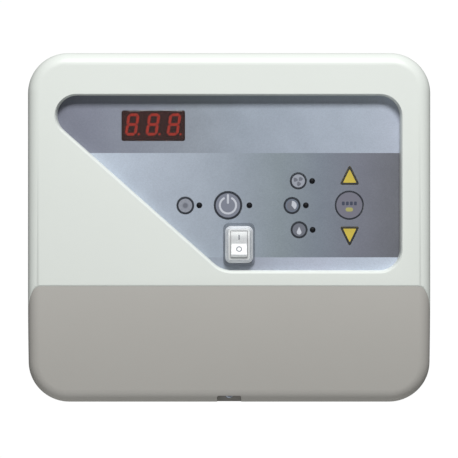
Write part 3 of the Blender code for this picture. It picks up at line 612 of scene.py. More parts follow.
# Polyester film, reverse printed with silver flake ink: a fine sparkle under a smooth skin, in
# bands that run from dark to light, each against its neighbour.
SILVER_FILM = MetallicFilm(
    "silver_flake_film", "A0A8B4", 0.34, metallic=0.25, grain_mm=0.5, grain_depth_mm=0.003,
    bands=(Band(46.6, ((-107, "7F8290"), (-86, "8B8F9E"), (-21, "99A1AC"), (7, "A2ACB9"),
                       (44, "AAB4C2"), (81, "B3BDCB"), (106, "BBC3D2"))),
           Band(-18.2, ((-95, "CCD6E2"), (-70, "C4CFDE"), (-43, "B8C2D0"), (-18, "AFB9C6"),
                        (7, "A0AAB6"), (31, "929DA5"), (56, "868F9B"), (81, "80838F"),
                        (106, "74767D"))),
           Band(-60.0, ((-5, "A0A8B5"), (16, "A9AFBD"), (31, "B8C0D0"), (56, "C2C9DA"),
                        (81, "C8D2E2"), (106, "CED8E7")))))
# Cut cellular foam: black, pitted, with no highlight at all.
FOAM_SEAL = Finish("black_cell_foam", "26272A", 0.9, grain_mm=0.8, grain_depth_mm=0.1)
# Cast acrylic, dyed a smoky red: one sharp reflection, and the digits seen dimly through it.
SMOKED_ACRYLIC = Finish("smoked_red_acrylic", "8A6B68", 0.06, ior=1.49, transmission=0.85,
                        grain_depth_mm=0.0, mottle=0.02, spread=0.02)
# Potted display housing: dark and dull, so that only the lit bars stand out.
DIGIT_BLACK = Finish("digit_housing", "3A3030", 0.6)
# Frosted resin over a lit diode: an even red bar that gives its own light.
DIGIT_RED = Finish("lit_red_segment", "E8553C", 0.4, glow=1.7)
# Screen inks: level, flat colours. The black is the dullest; the pale one has silver in it, and
# the yellow is lighter and darker in random blotches about 5 mm across.
INK_BLACK = Ink("black_screen_ink", "1B222C", 0.6)
INK_PALE = Ink("pale_silver_ink", "CDD1DA", 0.35, metallic=0.2)
INK_DARK = Ink("dark_grey_ink", "6C6F79")
INK_YELLOW = Ink("yellow_screen_ink", "C4B04A", mottle=0.12, mottle_mm=5)
INK_NAVY = Ink("navy_screen_ink", "3A4052", 0.5)
INK_OLIVE = Ink("faded_yellow_ink", "A3A065")
INK_DISC = Ink("disc_grey_ink", "868A94")
# The round keys' own inks, each near the shade of the film round it.
KEY_INK_LIGHT = Ink("key_ink_light_grey", "8F939D")
KEY_INK_POWER = Ink("key_ink_blue_grey", "7B7F8C")
KEY_INK_FAN = Ink("key_ink_pale_grey", "959AA4")
KEY_INK_TIMER = Ink("key_ink_slate", "6A7280")
KEY_INK_HUMIDITY = Ink("key_ink_dark_slate", "6B6F79")
KEY_INK_PROGRAM = Ink("key_ink_warm_grey", "71717D")
# Tinted epoxy of a lamp that is off: nearly black, with little shine.
LAMP_BLACK = Finish("unlit_lamp_resin", "090B10", 0.6, ior=1.3)
# Nylon from a polished mould: the whitest and glossiest part of the front.
SWITCH_NYLON = Finish("white_gloss_nylon", "F0F1F0", 0.25, coat=0.2, grain_depth_mm=0.003)
# Marks cut in and filled: dull grey against the gloss.
MARK_GREY = Finish("engraved_grey_mark", "6A6F78", 0.5)
# Silicone rubber, 0.8 mm thick: clear from the front, milky where the wall turns away.
# its faint glow is painted light, lifting the sides that the key light leaves in shade
CLEAR_SILICONE = ClearRubber("clear_silicone_rubber", "F2F5F8", 0.14, ior=1.41,
                             grain_depth_mm=0.002, spread=0.04, glow=0.12)
# Glass-filled nylon: black, satin, with fibres that roughen its skin.
BLACK_PLASTIC = Finish("black_glass_nylon", "1B1C1F", 0.42, grain_depth_mm=0.02)
# Steel with blue-passivated zinc: bright and cold, faintly clouded.
ZINC_STEEL = BrushedMetal("blue_zinc_steel", "AEB6C4", 0.3, metallic=1.0, grain_depth_mm=0.004,
                          mottle_mm=6)
# Rolled brass under tin: a warm grey with streaks along the strip.
TINNED_BRASS = BrushedMetal("tinned_brass", "C8C2A8", 0.28, metallic=1.0, grain_depth_mm=0.004)
# Solder, frozen as it flowed: small bright beads.
SOLDER = Finish("solder_joint", "B9BBBD", 0.3, metallic=1.0, grain_mm=0.6)
# Glass laminate under solder mask: glossy deep green, with paler lines where the tracks run.
LAMINATE = SolderMask("green_solder_mask", "1F5A3A", 0.32, coat=0.3)
# Sealed polyester relay cover: smooth, half-gloss blue.
RELAY_CASE = Finish("blue_relay_case", "2B4B86", 0.35)
# Silicon steel sheet dipped in varnish: brown and dull, still metallic.
CORE_STEEL = BrushedMetal("varnished_core_steel", "5A5650", 0.45, metallic=0.7, streak_mm=0.5,
                          grain_depth_mm=0.05)
# Polyester tape wound over the coil: warm yellow, slightly wrinkled.
WINDING_TAPE = Finish("yellow_winding_tape", "C9A94B", 0.4, grain_depth_mm=0.02)
# Self-extinguishing nylon: grey-green and satin.
TERMINAL_NYLON = Finish("green_terminal_nylon", "6E7F72", 0.45)
# Drawn glass tube: clear, with sharp highlights along it.
FUSE_GLASS = Finish("fuse_glass_tube", "E4ECEA", 0.04, transmission=1.0, grain_depth_mm=0.0)
# PVC sleeve, shrunk on: tight, glossy dark blue.
CAP_SLEEVE = Finish("blue_shrink_sleeve", "1E2A55", 0.3)
# Etched aluminium end caps: pale, softly shining metal.
ALUMINIUM = BrushedMetal("etched_aluminium", "C6C8CA", 0.35, metallic=1.0)
# Extruded PVC: plain grey with a half gloss.
RIBBON_PVC = Finish("grey_ribbon_pvc", "8C9096", 0.45)
# Moulded rubber: dark, nearly matt, with a coarse skin.
GROMMET_RUBBER = Finish("dark_grey_rubber", "4A4C4E", 0.65, grain_mm=0.8, grain_depth_mm=0.03)


def block(name: str, x: Point, out: Point, z: Point) -> bpy.types.Object:
    """A box between two x, two distances out and two z."""
    corners = [(x[1], z[0]), (x[1], z[1]), (x[0], z[1]), (x[0], z[0])]
    return prism(name, corners, *out)


def side_cut(name: str, outline: Sequence[Point], x0: float, x1: float,
             sharp_deg: float = SHARP) -> bpy.types.Object:
    """An (out, z) outline extruded along X."""
    rings = [[Vector((x, -out, z)) * MM for out, z in outline] for x in (x0, x1)]
    return body_of_rings(name, rings, sharp_deg=sharp_deg)


def hoop(name: str, outer: Sequence[Point], inner: Sequence[Point], back: float,
         front: float) -> bpy.types.Object:
    """A flat ring between two outlines of equally many points."""
    rings = [at_out(outer, back), at_out(outer, front), at_out(inner, front), at_out(inner, back)]
    return body_of_rings(name, rings, closed=True)


# ---- casing -------------------------------------------------------------------------------------
@dataclass(frozen=True)
class Casing:
    """The moulded case: cream front cover, grey wiring cover and grey wall tray."""

    width: float = 250.0
    height: float = 217.5
    depth: float = 70.0
    corner_r: float = 25.0
    edge_r: float = 8.0
    wall: float = 2.5
    tray_depth: float = 34.0
    gap: float = 0.3
    seam_z: float = -35.5
    seam_slope: float = 2.2
    seam_gap: float = 0.4
    bow_r: float = 295.0
    rim: float = 1.3
    rim_drop: float = 0.7
    draft: float = 0.5
    lip_wall: float = 2.2
    lip_end: float = 63.3
    seat_out: float = 50.0
    seat: float = 2.5
    cover_screw: Point = (113.0, -60.0)
    lower_screw_z: float = -103.8
    notch_half: float = 7.5
    notch_height: float = 4.35
    tab_reach: float = 5.0
    tab_half: float = 6.0
    tab_hole_r: float = 2.0
    seat_hole_r: float = 1.8
    hook_play: float = 2.0
    hook_x: float = 60.0
    hook_w: float = 30.0
    corner_steps: int = 18
    edge_steps: int = 12
    face_rows: int = 16

    def setback(self, z: float) -> float:
        """How far the bowed lower front lies behind the flat face."""
        drop = max(0.0, self.seam_z - z)
        return self.bow_r - math.sqrt(self.bow_r ** 2 - drop ** 2)

    def outline(self, inset: float) -> list[Point]:
        """The case's outline, down the right side from the top and back up the left."""
        radius = max(self.corner_r - inset, 1.0)
        cx, cz = self.width / 2 - inset - radius, self.height / 2 - inset - radius
        right = arc(cx, cz, radius, math.pi / 2, 0, self.corner_steps)
        right += [(cx + radius, self.seam_z - (cz + self.seam_z) * i / self.face_rows)
                  for i in range(self.face_rows)]
        right += arc(cx, -cz, radius, 0, -math.pi / 2, self.corner_steps)
        return right + [(-x, z) for x, z in reversed(right)]

    def ring(self, inset: float, out: float, bowed: bool = False) -> Ring:
        """The outline at one distance out, set back below the seam where it is bowed."""
        return [Vector((x, -out + (self.setback(z) if bowed else 0), z)) * MM
                for x, z in self.outline(inset)]

    def shell(self, name: str) -> bpy.types.Object:
        """Open-backed cover with a rounded front edge."""
        turns = quarter(self.edge_steps)[::-1]
        root = self.depth - self.edge_r
        inner_r = self.edge_r - self.wall
        rings = [self.ring(self.edge_r * (1 - math.cos(a)), root + self.edge_r * math.sin(a), True)
                 for a in turns]
        rings += [self.ring(0, self.tray_depth + self.gap),
                  self.ring(self.wall, self.tray_depth + self.gap)]
        rings += [self.ring(self.wall + inner_r * (1 - math.cos(a)),
                            root + inner_r * math.sin(a), True) for a in reversed(turns)]
        return body_of_rings(name, rings, ladder=True)

    def seam_wedge(self, lift: float) -> bpy.types.Object:
        """Everything in front of the slanted seam plane, raised by a lift."""
        far, reach = 20.0, self.height
        edge = self.seam_z + lift * math.hypot(1, self.seam_slope)
        outline = [(self.depth + far, edge + self.seam_slope * far),
                   (self.depth - reach / self.seam_slope, edge - reach),
                   (self.depth + far, edge - reach)]
        return side_cut("seam_tool", outline, -self.width, self.width)

    def front_cover(self, opening: "Opening") -> None:
        """Cream cover with the panel opening, its inner lip, two screw tabs and hook reliefs."""
        cover = self.shell("front_cover_shell")
        carve(cover, self.seam_wedge(self.seam_gap / 2))
        parts = [prism("lip_tool", opening.outline(self.lip_wall), self.lip_end,
                       self.depth - self.wall / 2)]
        x, z = self.cover_screw
        for side in (-1, 1):
            reach = sorted((side * (x - self.tab_reach), side * (self.width / 2 - self.wall / 2)))
            parts.append(block(f"tab_tool_{side}", tuple(reach),
                               (self.seat_out - self.seat, self.seat_out),
                               (z - self.tab_half, z + self.tab_half)))
        carve(cover, *parts, operation="UNION")
        tools = [turned(f"tab_hole_tool_{side}", [(self.tab_hole_r, self.seat_out - 5),
                                                  (self.tab_hole_r, self.seat_out + 2.5)],
                        (side * x, z)) for side in (-1, 1)]
        tools += [block(f"relief_tool_{side}",
                        (side * self.hook_x - self.hook_w / 2 - self.hook_play,
                         side * self.hook_x + self.hook_w / 2 + self.hook_play),
                        (self.depth - 3 * self.wall, self.depth - 0.9),
                        (self.seam_z - 10, self.seam_z + self.seam_gap / 2)) for side in (-1, 1)]
        rings = [at_out(opening.outline(-self.draft), self.lip_end + out) for out in (-1.0, 0.0)]
        for share, behind in ((0.0, self.rim + 0.4), (0.1, self.rim), (0.85, 0.12), (1.0, 0.0)):
            grow, drop = share * self.rim * 0.6, share * self.rim_drop
            rings.append(at_out([(x, z - drop) for x, z in opening.outline(grow)],
                                self.depth - behind))
        rings.append(at_out(opening.outline(3), self.depth + 2))
        tools.append(body_of_rings("opening_tool", rings))
        carve(cover, *tools)
        self.finish_edges(cover)
        deliver(cover, CREAM_ABS, CASE, "casing_cream", "front_cover")

    def lower_cover(self) -> None:
        """Grey cover over the wiring, hooked in at its top edge and held by one screw."""
        cover = self.shell("lower_cover_shell")
        carve(cover, self.seam_wedge(-self.seam_gap / 2), operation="INTERSECT")
        bottom, side = -self.height / 2, self.notch_half
        pocket_top = self.lower_screw_z + 3.2
        parts = [block("pocket_tool", (-side - 1.8, side + 1.8),
                       (self.seat_out - self.seat, self.seat_out + 8.3),
                       (bottom + self.wall - 0.3, pocket_top + 1.6))]
        front, root = self.depth - self.wall - self.gap, self.seam_z - 7.5
        hook = [(front - 1.8, root - 7), (front + 1.3, root - 7), (front + 1.3, root),
                (front, root), (front, self.seam_z + 2.7), (front - 0.8, self.seam_z + 3.5),
                (front - 1.8, self.seam_z + 3.5)]
        parts += [side_cut(f"hook_tool_{x}", hook, x - self.hook_w / 2, x + self.hook_w / 2)
                  for x in (-self.hook_x, self.hook_x)]
        carve(cover, *parts, operation="UNION")
        crown = bottom + self.notch_height
        notch = [(side, bottom - 10), *arc(side - 1.2, crown - 1.2, 1.2, 0, math.pi / 2, 5),
                 *arc(1.2 - side, crown - 1.2, 1.2, math.pi / 2, math.pi, 5), (-side, bottom - 10)]
        carve(cover, prism("notch_tool", notch, self.seat_out, self.depth + 10),
              block("notch_head_tool", (-side, side), (self.seat_out, self.seat_out + 6.8),
                    (crown - 0.5, pocket_top)),
              turned("seat_hole_tool", [(self.seat_hole_r, self.seat_out - 5),
                                        (self.seat_hole_r, self.seat_out + 1)],
                     (0, self.lower_screw_z)))
        self.finish_edges(cover)
        deliver(cover, GREY_ABS, "wiring_cover", "casing_grey", "lower_cover")

    def finish_edges(self, cover: bpy.types.Object) -> None:
        """Give the moulded edges their small radius and keep the flats even."""
        soften(cover, 0.3, 2, 40)
        flatten_shading(cover)

    def wall_tray(self) -> None:
        """Grey tray on the wall, with its locating lip, posts, keyholes and cable entries."""
        refined("back_box", TRAY_ABS, "casing_grey", 0.3)

    def build(self, opening: "Opening") -> None:
        """Make the three mouldings."""
        self.front_cover(opening)
        self.lower_cover()
        self.wall_tray()


@dataclass(frozen=True)
class Opening:
    """The panel opening in the front cover: an upright right side and a slanted left one."""

    corners: tuple[Point, ...] = ((-4.7, -26.6), (106.4, -26.6), (106.4, 82.8), (-128.02, 82.8))
    radii: tuple[float, ...] = (16.5, 13.3, 13.3, 12.8)
    steps: int = 20

    def outline(self, grow: float) -> list[Point]:
        """The opening's outline, grown outwards."""
        return filleted(grown(self.corners, grow), [r + grow for r in self.radii], self.steps)


# ---- membrane panel -----------------------------------------------------------------------------
class Glyph(Enum):
    """The generic symbols printed on the keys."""

    LAMP = "lamp"
    STANDBY = "standby"
    FAN = "fan"
    CLOCK = "clock"
    DROP = "drop"
    MENU = "menu"


@dataclass(frozen=True)
class RoundKey:
    """One round key area: its place, size, inks and symbol."""

    name: str
    x: float
    z: float
    radius: float
    ring: float
    glyph: Glyph
    base: Finish


@dataclass(frozen=True)
class ArrowKey:
    """One triangular key: its base line and which way its tip points."""

    name: str
    x: float
    base_z: float
    tip: int
    width: float = 11.4
    height: float = 11.7
    corner_r: float = 0.6

    def outline(self, grow: float) -> list[Point]:
        """The triangle's outline, grown outwards or shrunk."""
        half = self.width / 2
        corners = [(self.x - half, self.base_z), (self.x + half, self.base_z),
                   (self.x, self.base_z + self.height)]
        if self.tip < 0:
            corners = [(self.x + half, self.base_z), (self.x - half, self.base_z),
                       (self.x, self.base_z - self.height)]
        return filleted(grown(corners, grow), [max(self.corner_r + grow, 0.3)] * 3, 8)

    @property
    def inner_r(self) -> float:
        """Radius of the largest circle inside the triangle."""
        side = math.hypot(self.width / 2, self.height)
        return self.width * self.height / (self.width + 2 * side)

    def centre(self) -> Point:
        """Centre of the largest circle inside the triangle."""
        return self.x, self.base_z + self.tip * self.inner_r


@dataclass(frozen=True)
class MembranePanel:
    """Silver film with its keys, prints, lamps and seal, on its carrier plate."""

    film_back: float = 62.6
    film_front: float = 63.0
    key_gap: float = 0.3
    print_step: float = 0.04
    stem_r: float = 1.6
    stem_end: float = 58.9
    flange: float = 60.5
    flange_wall: float = 0.8
    lamp_flange_r: float = 1.7
    lamp_back: float = 54.3
    lamp_seat: float = 57.8
    lamp_dome: float = 0.7
    lamp_tip: float = 63.3
    lamp_r: float = 1.5
    switch_hole: Point = (12.7, 19.04)
    round_keys: tuple[RoundKey, ...] = (
        RoundKey("light", -27.2, 14.0, 5.25, 1.0, Glyph.LAMP, KEY_INK_LIGHT),
        RoundKey("power", -0.7, 14.1, 8.6, 1.05, Glyph.STANDBY, KEY_INK_POWER),
        RoundKey("fan", 43.0, 29.3, 5.0, 0.95, Glyph.FAN, KEY_INK_FAN),
        RoundKey("timer", 39.1, 14.0, 5.0, 0.95, Glyph.CLOCK, KEY_INK_TIMER),
        RoundKey("humidity", 43.5, -1.1, 5.0, 0.95, Glyph.DROP, KEY_INK_HUMIDITY),
        RoundKey("program", 74.7, 14.2, 8.75, 0.7, Glyph.MENU, KEY_INK_PROGRAM))
    arrow_keys: tuple[ArrowKey, ...] = (ArrowKey("up", 74.9, 27.2, 1),
                                        ArrowKey("down", 74.9, 0.6, -1))
    lamps: tuple[tuple[str, float, float], ...] = (
        ("light", -18.5, 14.1), ("power", 12.6, 14.1), ("fan", 51.6, 29.2),
        ("timer", 47.7, 14.1), ("humidity", 51.9, -1.1))

    def film(self, opening: Opening) -> None:
        """The printed film, with a hole for each key, lamp, the window and the switch."""
        film = prism("printed_film", opening.outline(2.5), self.film_back, self.film_front)
        holes = bmesh.new()
        outlines = [circle(key.x, key.z, key.radius + self.key_gap) for key in self.round_keys]
        outlines += [key.outline(self.key_gap) for key in self.arrow_keys]
        outlines += [circle(x, z, self.lamp_r + 0.12, 32) for _, x, z in self.lamps]
        outlines.append(rounded_rect(*WINDOW_AT, WINDOW_SIZE[0] + 0.3, WINDOW_SIZE[1] + 0.3,
                                     WINDOW_R + 0.15))
        outlines.append(rounded_rect(*SWITCH_AT, *self.switch_hole, 0.8))
        for outline in outlines:
            skin(holes, [at_out(outline, self.film_back - 1), at_out(outline, self.film_front + 1)])
        carve(film, from_shape("film_holes", holes))
        deliver(film, SILVER_FILM, CASE, "silver_film", "panel_overlay")

    def key_body(self, name: str, outline: Callable[[float], list[Point]], stem_grow: float,
                 finish: Finish, slot: str) -> None:
        """A key area with its carrier disc behind the plate and its stem."""
        front, flange, wall = self.film_front, self.flange, self.flange_wall
        steps = [(-0.15, front), (0.0, front - 0.12), (0.0, flange), (wall, flange),
                 (wall, flange - wall), (stem_grow, flange - wall), (stem_grow, self.stem_end)]
        body = body_of_rings(f"{name}_key_cap", [at_out(outline(grow), out) for grow, out in steps])
        deliver(body, finish, f"{name}_key", slot, f"key_{name}")

    def print_on(self, name: str, body: str, finish: Finish,
                 shapes: Sequence[Sequence[Point]], layer: int = 1) -> None:
        """Ink patches lying on a key, as one piece of the given layer."""
        made = bmesh.new()
        back, front = self.film_front - SINK, self.film_front + layer * self.print_step
        for outline in shapes:
            skin(made, [at_out(outline, back), at_out(outline, front)])
        slot = "key_yellow" if finish is INK_YELLOW else "key_print"
        deliver(from_shape(name, made), finish, body, slot)

    def ring_print(self, name: str, body: str, outer: Sequence[Point],
                   inner: Sequence[Point]) -> None:
        """The dark border printed round a key."""
        made = hoop(name, outer, inner, self.film_front - SINK,
                    self.film_front + self.print_step)
        deliver(made, INK_BLACK, body, "key_print")

    def keys(self) -> None:
        """All eight keys and what is printed on them."""
        for key in self.round_keys:
            self.key_body(key.name, lambda g, k=key: circle(k.x, k.z, k.radius + g),
                          self.stem_r - key.radius, key.base, "key_print")
            body = f"{key.name}_key"
            self.ring_print(f"{key.name}_key_border", body, circle(key.x, key.z, key.radius - 0.05),
                            circle(key.x, key.z, key.radius - key.ring))
            self.symbol(key, body)
        for arrow in self.arrow_keys:
            self.key_body(arrow.name, arrow.outline, self.stem_r - arrow.inner_r, INK_YELLOW,
                          "key_yellow")
            self.ring_print(f"{arrow.name}_key_border", f"{arrow.name}_key",
                            arrow.outline(-0.05), arrow.outline(-0.95))

    def symbol(self, key: RoundKey, body: str) -> None:
        """The key's symbol, from plain generic shapes."""
        x, z, name = key.x, key.z, f"{key.name}_symbol"
        if key.glyph is Glyph.STANDBY:
            gap = math.radians(24)
            turns = (math.pi / 2 + gap, math.pi * 2.5 - gap)
            band = arc(x, z, 5.65, *turns, 48) + arc(x, z, 4.4, *turns[::-1], 48)
            bar = rounded_rect(x, z + 3.95, 1.3, 5.9, 0.5, 4)
            self.print_on(name, body, INK_PALE, [band, bar])
        elif key.glyph is Glyph.LAMP:
            rays = [self.spoke(x, z, math.pi / 4 * i, 2.9, 3.6, 0.6) for i in range(8)]
            self.print_on(name, body, INK_DISC, [circle(x, z, 2.2, 32), *rays])
            self.print_on("light_symbol_core", body, INK_DARK, [circle(x, z, 1.5, 32)], 2)
        elif key.glyph is Glyph.FAN:
            blades = [self.blade(x, z, math.pi * 2 / 3 * i + 0.5) for i in range(3)]
            self.print_on(name, body, INK_DARK, [*blades])
        elif key.glyph is Glyph.CLOCK:
            self.print_on("timer_symbol_face", body, INK_DARK, [circle(x, z, 3.1, 40)])
            wedge = [(x - 0.3, z - 0.1), *arc(x, z, 2.9, math.radians(-55), math.pi / 2, 24)]
            self.print_on(name, body, INK_PALE, [wedge], 2)
        elif key.glyph is Glyph.DROP:
            self.print_on("humidity_symbol_face", body, INK_DARK, [circle(x, z, 3.1, 40)])
            drop = arc(x, z - 1.5, 1.45, math.radians(-205), math.radians(25), 20) + [(x, z + 1.9)]
            self.print_on(name, body, INK_PALE, [drop], 2)
        else:
            steps = [rounded_rect(x - 3.75 + 2.5 * i, z + 1.1, 1.75, 2.3, 0.5, 3) for i in range(4)]
            self.print_on(name, body, INK_NAVY, steps)
            self.print_on("program_accent", body, INK_OLIVE, [
                rounded_rect(x, z - 2.7, 4.6, 2.5, 1.2, 6)])

    @staticmethod
    def spoke(x: float, z: float, turn: float, start: float, stop: float,
              width: float) -> list[Point]:
        """A short bar that points away from a centre."""
        flat = [(start, -width / 2), (stop, -width / 2), (stop, width / 2), (start, width / 2)]
        return spun(flat, x, z, turn)

    @staticmethod
    def blade(x: float, z: float, turn: float) -> list[Point]:
        """One fan blade: a leaf that sweeps away from the hub."""
        leaf = [(0.3 + 3.1 * i / 12, 1.9 * math.sin(math.pi * i / 12)) for i in range(13)]
        leaf = [(u, v - 0.2) for u, v in leaf][::-1] + [(u, -0.2 - 0.3 * v)
                                                         for u, v in leaf[1:-1]]
        return spun(leaf, x, z, turn)

    def indicators(self) -> None:
        """Domed lamps whose tips show through the film."""
        for name, x, z in self.lamps:
            dome = [(self.lamp_r * math.cos(a), self.film_back + self.lamp_dome * math.sin(a))
                    for a in quarter(5)[:-1]]
            profile = [(self.lamp_flange_r, self.lamp_back), (self.lamp_flange_r, self.lamp_seat),
                       (self.lamp_r, self.lamp_seat), *dome, (0.15, self.lamp_tip)]
            lamp = turned(f"{name}_lamp", profile, (x, z), facets=32)
            deliver(lamp, LAMP_BLACK, CASE, "lamp", f"indicator_{name}")
            border = hoop(f"{name}_lamp_border", circle(x, z, 1.85, 32), circle(x, z, 1.63, 32),
                          self.film_front - SINK, self.film_front + self.print_step)
            deliver(border, INK_BLACK, CASE, "lamp")

    def build(self, opening: Opening) -> None:
        """Make the panel from its back to its front."""
        refined("panel_plate", CARRIER_ABS, "carrier", 0.2)
        refined("panel_gasket", FOAM_SEAL, "foam", 0.3)
        self.film(opening)
        self.keys()
        self.indicators()


# ---- display ------------------------------------------------------------------------------------
@dataclass(frozen=True)
class Display:
    """Three seven-segment digits behind a smoked window."""

    front: float = 63.0
    module_front: float = 61.1
    lens_back: float = 61.4
    digit_places: tuple[float, ...] = (-13.2, -0.3, 12.8)
    digit_lift: float = 0.8
    digit_height: float = 13.8
    digit_width: float = 7.4
    stroke: float = 1.7
    bar_gap: float = 0.12
    point_r: float = 0.7
    point_gap: float = 2.2
    slant: float = math.tan(math.radians(9))

    def segment(self, x: float, z: float, half: float, upright: bool) -> list[Point]:
        """One pointed bar of a digit, centred on (x, z)."""
        cut = self.stroke / 2
        flat = [(-half, 0), (-half + cut, -cut), (half - cut, -cut), (half, 0), (half - cut, cut),
                (-half + cut, cut)]
        if upright:
            flat = [(-v, u) for u, v in flat]
        return [(x + u, z + v) for u, v in flat]

    def digit(self, place: float) -> list[list[Point]]:
        """Seven segments and a decimal point, slanted."""
        run, rise = (self.digit_width - self.stroke) / 2, (self.digit_height - self.stroke) / 4
        bars = [self.segment(0, rise * 2 * i, run - self.bar_gap, False) for i in (-1, 0, 1)]
        bars += [self.segment(side * run, rise * level, rise - self.bar_gap, True)
                 for side in (-1, 1) for level in (-1, 1)]
        bars.append(circle(run + self.point_gap, -2 * rise, self.point_r, 20))
        cx, cz = WINDOW_AT[0] + place, WINDOW_AT[1] + self.digit_lift
        return [[(cx + u + v * self.slant, cz + v) for u, v in bar] for bar in bars]

    def build(self) -> None:
        """Make the module face, the digits and the window."""
        refined("display_module", DIGIT_BLACK, "black_plastic", 0.2)
        shape = bmesh.new()
        for place in self.digit_places:
            for bar in self.digit(place):
                skin(shape, [at_out(bar, self.module_front - SINK),
                             at_out(bar, self.module_front + 0.1)])
        deliver(from_shape("display_segments", shape), DIGIT_RED, CASE, "lamp")
        lens = prism("display_window", rounded_rect(*WINDOW_AT, *WINDOW_SIZE, WINDOW_R),
                     self.lens_back, self.front)
        soften(lens, 0.25, 3)
        flatten_shading(lens)
        deliver(lens, SMOKED_ACRYLIC, CASE, "smoked_lens", "display_lens")


# ---- rocker switch ------------------------------------------------------------------------------
@dataclass(frozen=True)
class RockerSwitch:
    """White rocker switch with its bezel, blades and clear splash boot."""

    at: Point = SWITCH_AT
    bezel_front: float = 65.0
    bezel_back: float = 63.3
    rocker_w: float = 10.1
    rocker_half: float = 7.4
    valley: float = 2.0
    tilt: float = math.radians(12)
    boot_size: Point = (17.1, 22.7)
    boot_flange: Point = (19.5, 27.0)
    boot_proud: float = 6.2
    boot_r: float = 3.5
    boot_wall: float = 0.8
    boot_dome: float = 2.4
    boot_dome_inside: float = 1.8
    rocker_root: Point = (-3.0, 5.5)
    mark_proud: float = 0.05

    def pivot_out(self) -> float:
        """The rocker's axis, behind the bezel's face."""
        return self.bezel_front - self.valley * math.cos(self.tilt)

    def turned_point(self, out: float, z: float) -> Point:
        """A point of the level rocker, turned to the pressed side, as (out, z)."""
        c, s = math.cos(self.tilt), math.sin(self.tilt)
        return self.pivot_out() + out * c - z * s, self.at[1] + z * c + out * s

    def rocker(self) -> None:
        """The tilting key, its two faces meeting in a soft valley."""
        rise = self.rocker_half * math.tan(self.tilt)
        radius = math.hypot(self.rocker_half, self.valley + rise)
        corner = math.atan2(self.rocker_half, self.valley + rise)
        skirt = [corner + (math.pi / 2 - corner) * i / 10 for i in range(1, 11)]
        half = [(self.valley + rise, self.rocker_half)]
        half += [(radius * math.cos(a), radius * math.sin(a)) for a in skirt] + [self.rocker_root]
        level = [(self.valley, 0.0)] + half + [(d, -z) for d, z in reversed(half)]
        outline = [self.turned_point(d, z) for d, z in level]
        x = self.at[0]
        rocker = side_cut("rocker_key", outline, x - self.rocker_w / 2, x + self.rocker_w / 2, 14)
        soften(rocker, 0.45, 3, 30)
        flatten_shading(rocker)
        deliver(rocker, SWITCH_NYLON, "rocker", "switch_white", "switch_rocker")
        self.marks()

    def marks(self) -> None:
        """The bar and the circle on the two faces."""
        shape = bmesh.new()
        x, slope = self.at[0], math.tan(self.tilt)

        def lay(flat: Sequence[Point], lift: float) -> Ring:
            """Lay an (x, z) outline on the rocker's face, at a lift above it."""
            ring = []
            for u, v in flat:
                out, z = self.turned_point(self.valley + abs(v) * slope + lift, v)
                ring.append(Vector((x + u, -out, z)) * MM)
            return ring

        bar, proud = rounded_rect(0, 3.9, 0.8, 3.0, 0.2, 3), self.mark_proud
        skin(shape, [lay(bar, -SINK), lay(bar, proud)])
        outer, inner = circle(0, -3.5, 1.85, 40), circle(0, -3.5, 1.15, 40)
        skin(shape, [lay(outer, -SINK), lay(outer, proud), lay(inner, proud), lay(inner, -SINK)],
             closed=True)
        deliver(from_shape("rocker_marks", shape), MARK_GREY, "rocker", "switch_white")

    def boot(self) -> None:
        """Thin clear cover, a flange and a domed skirt, over the rocker."""
        def ring(inset: float, out: float, flange: bool = False) -> Ring:
            """One outline of the boot, at a distance out from its flange's back."""
            w, h = self.boot_flange if flange else self.boot_size
            return at_out(rounded_rect(*self.at, w - 2 * inset, h - 2 * inset,
                                       max(self.boot_r - inset * 0.8, 0.6), 10),
                          self.bezel_back + out)

        top, wall, dome = self.boot_proud, self.boot_wall, self.boot_dome
        inside = self.boot_dome_inside
        turns = quarter(8)
        outer = [ring(dome * (1 - math.sin(a)) * 0.9, top - dome * (1 - math.cos(a)) * 0.9)
                 for a in turns]
        inner = [ring(wall + inside * (1 - math.sin(a)), top - wall - inside * (1 - math.cos(a)))
                 for a in reversed(turns)]
        boot = body_of_rings("splash_boot", [
            *outer, ring(0, wall + 0.3), ring(-0.3, wall), ring(0.2, wall, True),
            ring(0, wall - 0.2, True), ring(0, 0, True), ring(wall, 0), *inner])
        deliver(boot, CLEAR_SILICONE, CASE, "clear_boot", "switch_boot")

    def build(self) -> None:
        """Make the switch."""
        refined("switch_body", SWITCH_NYLON, "switch_white", 0.3)
        for i in (1, 2):
            refined(f"switch_blade_{i}", TINNED_BRASS, "tinned_brass", 0.1)
        self.rocker()
        self.boot()


